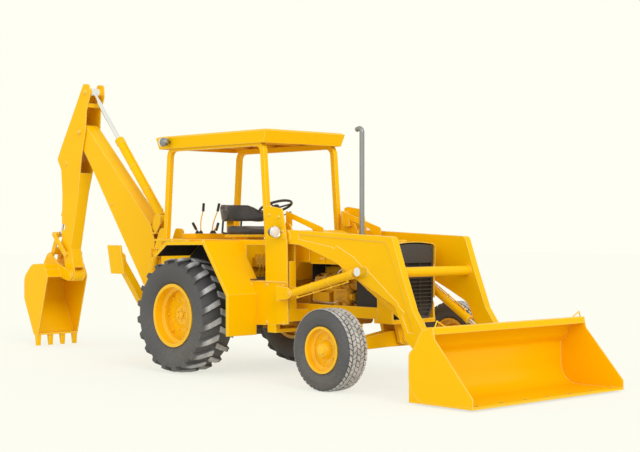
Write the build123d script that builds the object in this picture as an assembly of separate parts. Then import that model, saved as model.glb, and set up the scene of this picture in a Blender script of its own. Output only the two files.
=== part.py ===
from build123d import *
import os
from math import atan2, cos, degrees, hypot, radians, sin, sqrt, tan

# Backhoe loader, in millimetres.
# X runs forward from the backhoe to the loader bucket, Y to the driver's left, Z up from the ground.
# Every place along X below is measured from the rear axle. The finished pieces are shifted
# so that the origin is under the middle of the whole machine.

# Wheels
WHEELBASE = 2255
REAR_TYRE_RADIUS = 600
REAR_TYRE_WIDTH = 440
REAR_TRACK = 1670
REAR_RIM_RADIUS = 330
REAR_LUG_HEIGHT = 38
REAR_LUGS = 20
FRONT_TYRE_RADIUS = 385
FRONT_TYRE_WIDTH = 280
FRONT_TRACK = 1780
FRONT_RIM_RADIUS = 218
FRONT_GROOVE = 9
SEAT_GAP = 0.3
BEAD_SHARE = 0.74
REAR_DISH = 150
FRONT_DISH = 75
HUB_DEPTH = 40
KINGPIN_SPREAD = 1290
KINGPIN_DIAMETER = 44
STEER_ARM = 150
TIE_ROD_DIAMETER = 30

# Loader
ARM_PIVOT_X = 1270
ARM_PIVOT_Z = 1430
ARM_OUTER_Y = 545
ARM_WIDTH = 75
ARM_PANEL_DEPTH = 8
ARM_BORDER = 55
KNEE_X = 2715
KNEE_Z = 1430
LIFT_PIN_X = 2360
LIFT_PIN_Z = 1100
LIFT_BASE_X = 1410
LIFT_BASE_Z = 868
LIFT_BARREL_DIAMETER = 84
LIFT_BARREL_LENGTH = 880
LIFT_ROD_DIAMETER = 45
LIFT_CLEARANCE = 5
BUCKET_PIN_X = 3300
BUCKET_PIN_Z = 240
CROSS_TUBE_DIAMETER = 95
CROSS_TUBE_X = 2750
CROSS_TUBE_Z = 1100
LOADER_BUCKET_WIDTH = 2134
LOADER_BUCKET_FRONT = 4136
LOADER_BUCKET_BACK = 3415
LOADER_BUCKET_HEIGHT = 653
LOADER_BUCKET_LIFT = 18
LOADER_BUCKET_WALL = 12
CUTTING_EDGE_THICKNESS = 20
CUTTING_EDGE_DEPTH = 150
EDGE_BOLT_HOLE = 18
EDGE_BOLTS = 7
DUMP_BASE_X = 2030
DUMP_BASE_Z = 1120
DUMP_PIN_X = 3170
DUMP_PIN_Z = 420
DUMP_BARREL_DIAMETER = 78
DUMP_BARREL_LENGTH = 930
DUMP_RETRACT = 90
DUMP_ROD_DIAMETER = 42
DUMP_Y = 410
DUMP_EYE_WIDTH = 90

# Hull of the tractor
FRAME_HALF_WIDTH = 300
FRAME_RAIL_HEIGHT = 110
FRAME_RAIL_Z = 640
FRAME_RAIL_THICKNESS = 25
MAST_OUTER_Y = 575
MAST_PLATE = 14
MAST_FORK_GAP = 6
MAST_FRONT_X = 1300
SIDE_BOX_BACK_X = 730
SIDE_BOX_TOP_Z = 975
SIDE_BOX_BOTTOM_Z = 520
FLOOR_Z = 975
FLOOR_THICKNESS = 10
DECK_Z = 1390
DECK_THICKNESS = 25
DECK_BACK_X = -930
FENDER_OUTER_Y = 950
FENDER_INNER_Y = 478.3
FENDER_SHEET = 8
FENDER_LIP = 35
HOOD_HALF_WIDTH = 290
HOOD_BACK_X = 1340
HOOD_FRONT_X = 2500
HOOD_TOP_Z = 1378
HOOD_BOTTOM_Z = 1152
HOOD_SHEET = 6
GRILLE_BOTTOM_Z = 640
GRILLE_TOP_Z = 1325
GRILLE_BLANK_Z = 1175
GRILLE_SLATS = 14
STACK_X = 1780
STACK_TOP_Z = 2540
STACK_DIAMETER = 50
ENGINE_BACK_X = 1250
ENGINE_FRONT_X = 1880
ENGINE_HALF_WIDTH = 165
SUMP_Z = 560
BLOCK_TOP_Z = 960
ENGINE_CYLINDERS = 4
FAN_Z = 930
SHROUD_BACK_X = 1950
SHROUD_BOTTOM_Z = 712
RADIATOR_X = 2290
RADIATOR_TOP_Z = 1240

# Canopy and driver's place
ROOF_BACK_X = -900
ROOF_FRONT_X = 959
ROOF_HALF_WIDTH = 560
ROOF_TOP_Z = 2520
ROOF_BEAM_HEIGHT = 140
ROOF_SHEET = 10
POST_SIZE = 58
POST_WALL = 5
POST_BEND = 101
POST_Y = 494
SEAT_X = 50
SEAT_Z = 1440
SEAT_WIDTH = 440
SEAT_BACK_X = 30
SEAT_BACK_RADIUS = 310
SEAT_DEPTH = 420
CUSHION_THICKNESS = 85
STEERING_WHEEL_DIAMETER = 380
STEERING_WHEEL_X = 478
STEERING_WHEEL_Z = 1735
STEERING_COLUMN_TILT = 22

# Backhoe
SWING_X = -1470
SWING_PIN_DIAMETER = 80
BOOM_FOOT_X = -1600
BOOM_FOOT_Z = 820
BOOM_TIP_X = -3110
BOOM_TIP_Z = 2710
BOOM_HALF_WIDTH = 92
BOOM_PLATE = 14
BOOM_FOOT_PIN = 70
BOOM_TIP_PIN = 60
BOOM_CYLINDER_BASE_X = -1360
BOOM_CYLINDER_BASE_Z = 1050
BOOM_BARREL_DIAMETER = 110
BOOM_BARREL_LENGTH = 1040
BOOM_ROD_DIAMETER = 56
BOOM_RETRACT = 95
BOOM_CYLINDER_EYE_X = -2430
BOOM_CYLINDER_EYE_Z = 1800
CROWD_BASE_X = -1530
CROWD_BASE_Z = 1620
CROWD_EYE_X = -2970
CROWD_EYE_Z = 3200
CROWD_BARREL_DIAMETER = 105
CROWD_BARREL_LENGTH = 1290
CROWD_RETRACT = 705
CROWD_ROD_DIAMETER = 55
CROWD_EYE_WIDTH = 114
DIPPER_HALF_WIDTH = 112
DIPPER_FOOT_HALF_WIDTH = 78
DIPPER_PLATE = 12
HOE_PIN_DIAMETER = 60
DIPPER_TOP_Z = 3305
HOE_PIN_X = -3360
HOE_PIN_Z = 910
HOE_BUCKET_WIDTH = 600
HOE_BUCKET_WALL = 12
HOE_TEETH = 4
TOOTH_LENGTH = 135
TOOTH_WIDTH = 60
LINK_APEX_X = -3700
LINK_APEX_Z = 1430
LINK_FOOT_X = -3440
LINK_FOOT_Z = 1180
LINK_PIN_DIAMETER = 38
LINK_WIDTH = 64
LINK_SPREAD = 105
BUCKET_LINK_INNER = 46
EAR_PIN_X = -3840
EAR_PIN_Z = 1140
HOE_CYLINDER_BASE_X = -3430
HOE_CYLINDER_BASE_Z = 2330
HOE_BARREL_DIAMETER = 80
HOE_BARREL_LENGTH = 690
HOE_ROD_DIAMETER = 40
HOE_RETRACT = 170
STABILIZER_X = -1195
STABILIZER_PIVOT_Y = 360
STABILIZER_PIVOT_Z = 420
STABILIZER_LENGTH = 880
STABILIZER_UP_ANGLE = 57
STABILIZER_DOWN_ANGLE = 24
STABILIZER_PIN_DIAMETER = 44
STABILIZER_PIN_ALONG = 250
STABILIZER_PIN_RISE = 34
STABILIZER_BARREL_DIAMETER = 72
STABILIZER_BARREL_LENGTH = 490
STABILIZER_ROD_DIAMETER = 38
STABILIZER_HEAD_Y = 330
STABILIZER_HEAD_Z = 1220
PAD_LENGTH = 320
PAD_WIDTH = 250
PIN_PLAY = 0.5
BORE_PLAY = 0.1
ROD_PLAY = 0.1


# Middle of the machine, worked out from the two buckets
HOE_HEEL_X = HOE_PIN_X - 755
REAR_AXLE_X = -(LOADER_BUCKET_FRONT + HOE_HEEL_X) / 2
FRONT_AXLE_X = WHEELBASE


def outline(*corners):
    """Closed flat face from its corners; a third number in a corner rounds it with that radius."""
    points = [Vector(corner[0], corner[1]) for corner in corners]
    count = len(points)
    edges = []
    ends = []
    for index, corner in enumerate(corners):
        here, before, after = points[index], points[index - 1], points[(index + 1) % count]
        back, ahead = before - here, after - here
        half = radians(back.get_angle(ahead)) / 2
        cut = corner[2] / tan(half) if len(corner) == 3 else 0
        cut = min(cut, back.length * 0.49, ahead.length * 0.49)
        if cut < 0.5:
            ends.append((here, here))
            continue
        start, end = here + back.normalized() * cut, here + ahead.normalized() * cut
        radius = cut * tan(half)
        inward = (back.normalized() + ahead.normalized()).normalized()
        crest = here + inward * (radius / sin(half) - radius)
        edges.append(ThreePointArc(start, crest, end))
        ends.append((start, end))
    for index in range(count):
        edges.append(Line(ends[index - 1][1], ends[index][0]))
    return make_face(edges)


def side_plate(face, y_low, y_high):
    """An (x, z) face given its thickness across the machine."""
    return extrude(Plane.XZ.offset(-y_high) * face, y_high - y_low, dir=(0, -1, 0))


def cross_plate(face, x_low, x_high):
    """A (y, z) face given its thickness along the machine."""
    return extrude(Plane.YZ.offset(x_low) * face, x_high - x_low, dir=(1, 0, 0))


def level_plate(face, z_low, z_high):
    """An (x, y) face given its thickness upward."""
    return extrude(Pos(0, 0, z_low) * face, z_high - z_low, dir=(0, 0, 1))


def block(x_low, x_high, y_low, y_high, z_low, z_high):
    """Square-cornered block between two corners."""
    size = (x_high - x_low, y_high - y_low, z_high - z_low)
    return Pos(x_low, y_low, z_low) * Box(*size, align=(Align.MIN, Align.MIN, Align.MIN))


def bar(start, end, diameter):
    """Round bar from one point to another."""
    direction = Vector(*end) - Vector(*start)
    plane = Plane(origin=start, z_dir=direction)
    return plane * Cylinder(diameter / 2, direction.length, align=(Align.CENTER, Align.CENTER, Align.MIN))


def cross_pin(x, z, diameter, y_low, y_high):
    """Round pin lying across the machine."""
    return bar((x, y_low, z), (x, y_high, z), diameter)


def both_sides(shape):
    """The shape and its mirror image on the machine's other side."""
    return [shape, mirror(shape, about=Plane.XZ)]


def joined(*shapes):
    """All shapes fused; lists of shapes are taken apart first."""
    flat = []
    for shape in shapes:
        flat += shape if isinstance(shape, list) else [shape]
    return flat[0].fuse(*flat[1:]) if len(flat) > 1 else flat[0]


def apart(*shapes):
    """Shapes that share a node without touching."""
    flat = []
    for shape in shapes:
        flat += shape if isinstance(shape, list) else [shape]
    solids = []
    for shape in flat:
        solids += shape.solids()
    return Compound(solids)


def cylinder_axis(base, eye):
    """Unit direction, in (x, z), from a cylinder's base pin to its rod's eye."""
    span = hypot(eye[0] - base[0], eye[1] - base[1])
    return (eye[0] - base[0]) / span, (eye[1] - base[1]) / span, span


def barrel_body(start, direction, diameter, length, rod_diameter):
    """Tube and gland turned about their own line, with the bore that the rod slides in."""
    outer, bore = diameter / 2, rod_diameter / 2 + ROD_PLAY
    collar = length - diameter * 0.5
    profile = make_face(Polyline((0, diameter * 0.35), (outer, diameter * 0.35), (outer, collar), (outer * 1.12, collar),
                                 (outer * 1.12, length + diameter * 0.12), (bore, length + diameter * 0.12),
                                 (bore, diameter * 0.7), (0, diameter * 0.7), close=True))
    turned = revolve(Plane.XZ * profile, Axis.Z)
    return Plane(origin=start, z_dir=direction) * turned


def hydraulic_barrel(base, eye, y, diameter, length, rod_diameter, eye_width):
    """Barrel with its base eye, gland and the bore that its rod slides in."""
    dx, dz, _ = cylinder_axis(base, eye)
    body = barrel_body((base[0], y, base[1]), (dx, 0, dz), diameter, length, rod_diameter)
    hub = cross_pin(base[0], base[1], diameter * 0.9, y - eye_width / 2, y + eye_width / 2)
    return joined(body, hub)


def hydraulic_rod(base, eye, y, barrel_diameter, retract, rod_diameter, eye_width):
    """Rod with its eye and a short pin of its own; its inner end leaves room to retract."""
    dx, dz, span = cylinder_axis(base, eye)
    at = lambda s: (base[0] + dx * s, y, base[1] + dz * s)
    shaft = bar(at(barrel_diameter * 0.7 + 12 + retract), at(span), rod_diameter)
    hub = cross_pin(eye[0], eye[1], rod_diameter * 1.9, y - eye_width / 2, y + eye_width / 2)
    return joined(shaft, hub)


def tyre(radius, width, flange_radius, bead_radius, tread_radius, side_bulge):
    """Hollow tyre on the Y axis, its middle at the origin; its beads sit inside the rim's flanges."""
    half = width / 2
    tread_half = half - side_bulge
    shoulder = radius - (radius - bead_radius) * 0.16
    waist = (radius + bead_radius) / 2
    bead_half = half * BEAD_SHARE - SEAT_GAP
    wall = 26
    with BuildSketch(Plane.YZ) as section:
        with BuildLine():
            crown = ThreePointArc((-tread_half, tread_radius), (0, radius), (tread_half, tread_radius))
            right = ThreePointArc(crown @ 1, (half, waist), (bead_half, flange_radius + 4))
            Polyline(right @ 1, (bead_half, bead_radius), (bead_half - wall, bead_radius))
            inner = ThreePointArc((bead_half - wall, bead_radius), (0, shoulder), (wall - bead_half, bead_radius))
            Polyline(inner @ 1, (-bead_half, bead_radius), (-bead_half, flange_radius + 4))
            ThreePointArc((-bead_half, flange_radius + 4), (-half, waist), (-tread_half, tread_radius))
        make_face()
    return revolve(section.sketch, Axis.Y)


def lug_section(y, start, end, top, root):
    """Cross-section of a tread bar at y: from one place along the turn to another, corners on two radii."""
    corners = [(start, top), (end, top), (end + 6, root), (start - 6, root)]
    points = [(x, y, sqrt(radius * radius - x * x)) for x, radius in corners]
    return make_face(Polyline(*points, close=True))


def rear_tyre():
    """Drive tyre with two staggered rows of angled bars."""
    carcass_radius = REAR_TYRE_RADIUS - REAR_LUG_HEIGHT
    half = REAR_TYRE_WIDTH / 2
    body = tyre(carcass_radius, REAR_TYRE_WIDTH, REAR_RIM_RADIUS, REAR_RIM_RADIUS - 24, carcass_radius - 26, 18)
    lugs = []
    for side in (1, -1):
        # Place across the tyre, start and end along its turn, radius of the bar's top and of its root
        table = [(side * 3, 0, 56, REAR_TYRE_RADIUS, carcass_radius - 16),
                 (side * half * 0.56, 50, 104, REAR_TYRE_RADIUS - 5, carcass_radius - 26),
                 (side * (half - 8), 84, 138, REAR_TYRE_RADIUS - 30, carcass_radius - 66)]
        bar_solid = loft([lug_section(*row) for row in table], ruled=True)
        for step in range(REAR_LUGS):
            turn = 360 / REAR_LUGS * (step + (0.5 if side < 0 else 0))
            lugs.append(Rot(0, turn, 0) * bar_solid)
    return body.fuse(*lugs)


def front_tyre():
    """Ribbed front tyre with grooves round its tread."""
    body = tyre(FRONT_TYRE_RADIUS, FRONT_TYRE_WIDTH, FRONT_RIM_RADIUS, FRONT_RIM_RADIUS - 14, FRONT_TYRE_RADIUS - 16, 22)
    for y in (-72, -24, 24, 72):
        groove_floor = FRONT_TYRE_RADIUS - 4 - FRONT_GROOVE
        ring = Cylinder(FRONT_TYRE_RADIUS + 10, FRONT_GROOVE) - Cylinder(groove_floor, FRONT_GROOVE)
        body -= Pos(0, y, 0) * (Rot(90, 0, 0) * ring)
    return body


def rim(radius, bead_radius, bead_half, dish, hub_radius, hub_length, sheet):
    """Wheel rim on the Y axis; plus Y is the outer side. The disc sits in from it by the dish."""
    flange = radius
    seat = bead_radius - SEAT_GAP
    well = seat - 34
    disc_y = bead_half - dish
    with BuildSketch(Plane.YZ) as section:
        with BuildLine():
            Polyline((-bead_half - 14, flange), (-bead_half, flange), (-bead_half, seat), (-bead_half * 0.5, seat),
                     (-bead_half * 0.4, well), (bead_half * 0.4, well), (bead_half * 0.5, seat), (bead_half, seat),
                     (bead_half, flange), (bead_half + 14, flange), (bead_half + 14, seat - sheet),
                     (bead_half * 0.5 + sheet, seat - sheet), (bead_half * 0.4 + sheet, well - sheet),
                     (disc_y + sheet, well - sheet), (disc_y + sheet + 12, hub_radius * 1.9),
                     (disc_y + hub_length, hub_radius * 1.3), (disc_y + hub_length, 0), (disc_y - HUB_DEPTH, 0),
                     (disc_y - HUB_DEPTH, hub_radius * 1.6), (disc_y, hub_radius * 1.9 + 4), (disc_y, well - sheet),
                     (-bead_half * 0.4 - sheet, well - sheet), (-bead_half * 0.5 - sheet, seat - sheet),
                     (-bead_half - 14, seat - sheet), close=True)
        make_face()
    return revolve(section.sketch, Axis.Y)


def wheel_nodes():
    """Tyres and rims of the four wheels, each at its own place."""
    pieces = {}
    rear = rear_tyre()
    rear_bead_half = REAR_TYRE_WIDTH / 2 * BEAD_SHARE
    rear_rim = rim(REAR_RIM_RADIUS, REAR_RIM_RADIUS - 24, rear_bead_half, REAR_DISH, 72, 40, 10)
    front = front_tyre()
    front_bead_half = FRONT_TYRE_WIDTH / 2 * BEAD_SHARE
    front_rim = rim(FRONT_RIM_RADIUS, FRONT_RIM_RADIUS - 14, front_bead_half, FRONT_DISH, 48, 78, 8)
    # End, place along the machine, half track, height, tyre, rim
    table = [("rear", 0, REAR_TRACK / 2, REAR_TYRE_RADIUS, rear, rear_rim),
             ("front", FRONT_AXLE_X, FRONT_TRACK / 2, FRONT_TYRE_RADIUS, front, front_rim)]
    for end, x, y, z, tyre_solid, rim_solid in table:
        for side, sign in (("left", 1), ("right", -1)):
            tyre_side = tyre_solid if sign > 0 else mirror(tyre_solid, about=Plane.XZ)
            rim_side = rim_solid if sign > 0 else mirror(rim_solid, about=Plane.XZ)
            pieces[f"{end}_tyre_{side}"] = Pos(x, sign * y, z) * tyre_side
            pieces[f"{end}_rim_{side}"] = Pos(x, sign * y, z) * rim_side
    return pieces


def hub_face(track, width, dish):
    """Distance from the machine's middle to the inner face of a wheel's hub."""
    return track / 2 + width / 2 * BEAD_SHARE - dish - HUB_DEPTH


def front_axle():
    """Beam that is deepest at its pivot, with a fork end round each kingpin."""
    z = FRONT_TYRE_RADIUS
    end_y = KINGPIN_SPREAD / 2
    face = outline((-end_y + 60, z - 25), (-180, z - 15, 60), (180, z - 15, 60), (end_y - 60, z - 25),
                   (end_y - 60, z + 75), (150, z + 135, 40), (-150, z + 135, 40), (-end_y + 60, z + 75))
    beam = cross_plate(face, FRONT_AXLE_X - 55, FRONT_AXLE_X + 55)
    forks = []
    for sign in (1, -1):
        for z_low in (z - 95, z + 65):
            arm = block(FRONT_AXLE_X - 45, FRONT_AXLE_X + 45, min(sign * (end_y - 110), sign * end_y),
                        max(sign * (end_y - 110), sign * end_y), z_low, z_low + 30)
            ear = Pos(FRONT_AXLE_X, sign * end_y, z_low) * Cylinder(45, 30, align=(Align.CENTER, Align.CENTER, Align.MIN))
            forks += [arm, ear]
        forks.append(block(FRONT_AXLE_X - 45, FRONT_AXLE_X + 45, min(sign * (end_y - 110), sign * (end_y - 58)),
                           max(sign * (end_y - 110), sign * (end_y - 58)), z - 95, z + 95))
        forks.append(bar((FRONT_AXLE_X, sign * end_y, z - 105), (FRONT_AXLE_X, sign * end_y, z + 105), KINGPIN_DIAMETER))
    pivot = bar((FRONT_AXLE_X - 130, 0, z + 60), (FRONT_AXLE_X + 130, 0, z + 60), 70)
    return joined(beam, forks, pivot)


def knuckle(sign):
    """Steering knuckle: sleeve round the kingpin, spindle to the hub and a steering arm behind."""
    z = FRONT_TYRE_RADIUS
    y = sign * KINGPIN_SPREAD / 2
    hub_y = sign * (hub_face(FRONT_TRACK, FRONT_TYRE_WIDTH, FRONT_DISH) - PIN_PLAY)
    sleeve = bar((FRONT_AXLE_X, y, z - 95 + 30 + PIN_PLAY), (FRONT_AXLE_X, y, z + 65 - PIN_PLAY), 88)
    spindle = bar((FRONT_AXLE_X, y, z), (FRONT_AXLE_X, hub_y, z), 64)
    arm = block(FRONT_AXLE_X - STEER_ARM - 25, FRONT_AXLE_X, y - 20, y + 20, z + 15, z + 36)
    hole = bar((FRONT_AXLE_X, y, z - 110), (FRONT_AXLE_X, y, z + 110), KINGPIN_DIAMETER + 2 * PIN_PLAY)
    return joined(sleeve, spindle, arm) - hole


def tie_rod():
    """Rod across the machine, behind the axle, that couples the two steering arms from below."""
    z = FRONT_TYRE_RADIUS - TIE_ROD_DIAMETER / 2
    x = FRONT_AXLE_X - STEER_ARM
    half = KINGPIN_SPREAD / 2
    rod = bar((x, -half, z), (x, half, z), TIE_ROD_DIAMETER)
    top = FRONT_TYRE_RADIUS + 15 - PIN_PLAY
    ends = [bar((x, side * half, z - 18), (x, side * half, top), 40) for side in (1, -1)]
    return joined(rod, ends)


def arm_outline(inset=0):
    """Side view of a loader arm: long top edge, knee, and leg down to the bucket's pin."""
    top = ARM_PIVOT_Z + 75
    face = outline((ARM_PIVOT_X - 65, top - 10, 40), (KNEE_X, KNEE_Z, 45), (2836, 1105, 400), (2978, 750),
                   (BUCKET_PIN_X - 5, BUCKET_PIN_Z + 78, 40), (BUCKET_PIN_X + 58, BUCKET_PIN_Z + 30, 40),
                   (BUCKET_PIN_X + 40, BUCKET_PIN_Z - 55, 40), (BUCKET_PIN_X - 60, BUCKET_PIN_Z - 45, 40),
                   (2900, 480, 60), (2863, 572), (2755, 790, 90), (2532, 900, 300), (2188, 1056, 300),
                   (1960, 1186, 200), (1716, 1267, 300), (1456, 1343), (ARM_PIVOT_X - 65, ARM_PIVOT_Z - 72, 40))
    return offset(face, -inset, kind=Kind.INTERSECTION) if inset else face


def loader_arm():
    """One arm on the machine's right: border, sunk panel and the raised rib through the lift pin."""
    outer, inner = -ARM_OUTER_Y, -ARM_OUTER_Y + ARM_WIDTH
    arm = side_plate(arm_outline(), outer, inner)
    panel = outline((1440, 1448), (KNEE_X - 75, KNEE_Z - 52, 30), (2760, 1130), (2905, 760), (2990, 560), (2915, 560),
                    (2790, 820), (2400, 1110), (2180, 1215), (1900, 1330), (1440, 1400))
    rib = outline((1950, 1290, 60), (2180, 1165), (2830, 690), (2870, 740), (2210, 1235), (1960, 1350, 60))
    arm -= side_plate(panel, outer - 1, outer + ARM_PANEL_DEPTH)
    arm += side_plate(rib & panel, outer, outer + ARM_PANEL_DEPTH + 1)
    pivot_boss = cross_pin(ARM_PIVOT_X, ARM_PIVOT_Z, 110, outer - MAST_FORK_GAP + PIN_PLAY, inner + MAST_FORK_GAP - PIN_PLAY)
    lift_boss = cross_pin(LIFT_PIN_X, LIFT_PIN_Z, 90, outer - LIFT_CLEARANCE + PIN_PLAY, inner)
    lug = outline((DUMP_BASE_X - 80, DUMP_BASE_Z + 170), (DUMP_BASE_X + 90, DUMP_BASE_Z + 130), (DUMP_BASE_X + 48, DUMP_BASE_Z - 45, 40),
                  (DUMP_BASE_X - 48, DUMP_BASE_Z - 45, 40))
    lug = side_plate(lug, inner - 1, -DUMP_Y - DUMP_EYE_WIDTH / 2 - PIN_PLAY)
    return joined(arm, pivot_boss, lift_boss, lug)


def loader_arms():
    """Both arms and the tubes between them."""
    inner = ARM_OUTER_Y - ARM_WIDTH
    cross = cross_pin(CROSS_TUBE_X, CROSS_TUBE_Z, CROSS_TUBE_DIAMETER, -inner - 1, inner + 1)
    return joined(both_sides(loader_arm()), cross)


def loader_bucket():
    """Wide bucket: curved back, side plates with a sharp heel, bolted cutting edge, top lip, handles and ears."""
    half = LOADER_BUCKET_WIDTH / 2
    floor = LOADER_BUCKET_LIFT
    top = floor + LOADER_BUCKET_HEIGHT
    front, back, wall = LOADER_BUCKET_FRONT, LOADER_BUCKET_BACK, LOADER_BUCKET_WALL
    lip_x = front - 446
    corners = [(front - CUTTING_EDGE_DEPTH + 20, floor), (back, floor, 240), (back, floor + 417, 60),
               (back + 62, floor + 474, 60), (back + 148, top - 25, 50), (lip_x, top)]
    inner = [(lip_x - 5, top - wall - 1), (back + 156, top - 36, 38), (back + 72, floor + 467, 48),
             (back + wall, floor + 412, 48), (back + wall, floor + wall, 228),
             (front - CUTTING_EDGE_DEPTH + 20, floor + wall)]
    shell = side_plate(outline(*corners, *inner), -half, half)
    side = outline((front - 5, floor + 4), (back + 3, floor), (back + 3, floor + 416, 40), (back + 64, floor + 473, 40),
                   (back + 150, top - 26, 40), (lip_x + 1, top - 1), (lip_x + 22, top - 96), (front - 5, floor + 88, 12))
    sides = [side_plate(side, -half + 1, -half + wall), side_plate(side, half - wall, half - 1)]
    depth = front - CUTTING_EDGE_DEPTH
    edge_face = outline((front, floor), (depth, floor), (depth, floor + CUTTING_EDGE_THICKNESS),
                        (front - 30, floor + CUTTING_EDGE_THICKNESS), (front, floor + 5))
    edge = side_plate(edge_face, -half, half)
    lip = side_plate(outline((lip_x - 60, top), (lip_x, top), (lip_x + 2, top - 60), (lip_x - 20, top - 60),
                             (lip_x - 20, top - 22), (lip_x - 60, top - 22)), -half, half)
    ear_face = outline((BUCKET_PIN_X, BUCKET_PIN_Z - 62, 40), (back + 61, floor + 64), (back + 29, floor + 108),
                       (back + 6, floor + 204), (back + 6, floor + 400), (DUMP_PIN_X + 30, DUMP_PIN_Z + 55, 25),
                       (DUMP_PIN_X - 45, DUMP_PIN_Z + 40, 30), (DUMP_PIN_X - 40, DUMP_PIN_Z - 50, 30),
                       (BUCKET_PIN_X - 62, BUCKET_PIN_Z + 40, 40), (BUCKET_PIN_X - 62, BUCKET_PIN_Z - 40, 40))
    extras = []
    arm_inner = ARM_OUTER_Y - ARM_WIDTH
    for sign in (1, -1):
        for y in (ARM_OUTER_Y + PIN_PLAY, arm_inner - PIN_PLAY - 16, DUMP_Y - 32 - PIN_PLAY - 16):
            low = y if sign > 0 else -y - 16
            extras.append(side_plate(ear_face, low, low + 16))
        boss_low, boss_high = sorted((sign * (ARM_OUTER_Y + PIN_PLAY), sign * (ARM_OUTER_Y + 30)))
        extras.append(cross_pin(BUCKET_PIN_X, BUCKET_PIN_Z, 100, boss_low, boss_high))
        # Handle bent from round bar, its highest point near the bucket's side
        ends = [(lip_x - 12, sign * (half - 40), top - 8), (lip_x - 12, sign * (half - 190), top - 8)]
        crest = (lip_x - 12, sign * (half - 70), top + 52)
        extras += [bar(ends[0], crest, 12), bar(crest, ends[1], 12), Pos(*crest) * Sphere(6.5)]
    bucket = joined(shell, sides, edge, lip, extras)
    for step in range(EDGE_BOLTS):
        y = (step - (EDGE_BOLTS - 1) / 2) * (LOADER_BUCKET_WIDTH - 240) / (EDGE_BOLTS - 1)
        hole = bar((front - 60, y, floor - 5), (front - 60, y, floor + CUTTING_EDGE_THICKNESS + 5), EDGE_BOLT_HOLE)
        bucket -= hole
    return bucket


def lift_cylinders():
    """Barrels and rods of the two lift cylinders, outside the arms."""
    y = -(ARM_OUTER_Y + LIFT_CLEARANCE + LIFT_BARREL_DIAMETER * 0.56)
    base, eye = (LIFT_BASE_X, LIFT_BASE_Z), (LIFT_PIN_X, LIFT_PIN_Z)
    width = 2 * (-y - ARM_OUTER_Y - LIFT_CLEARANCE)
    barrel = hydraulic_barrel(base, eye, y, LIFT_BARREL_DIAMETER, LIFT_BARREL_LENGTH, LIFT_ROD_DIAMETER, width)
    rod = hydraulic_rod(base, eye, y, LIFT_BARREL_DIAMETER, 0, LIFT_ROD_DIAMETER, width)
    return apart(both_sides(barrel)), apart(both_sides(rod))


def dump_cylinders():
    """Barrels and rods of the two dump cylinders, inside the arms."""
    base, eye = (DUMP_BASE_X, DUMP_BASE_Z), (DUMP_PIN_X, DUMP_PIN_Z)
    barrel = hydraulic_barrel(base, eye, -DUMP_Y, DUMP_BARREL_DIAMETER, DUMP_BARREL_LENGTH, DUMP_ROD_DIAMETER, DUMP_EYE_WIDTH)
    rod = hydraulic_rod(base, eye, -DUMP_Y, DUMP_BARREL_DIAMETER, DUMP_RETRACT, DUMP_ROD_DIAMETER, 64)
    return apart(both_sides(barrel)), apart(both_sides(rod))


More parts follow.
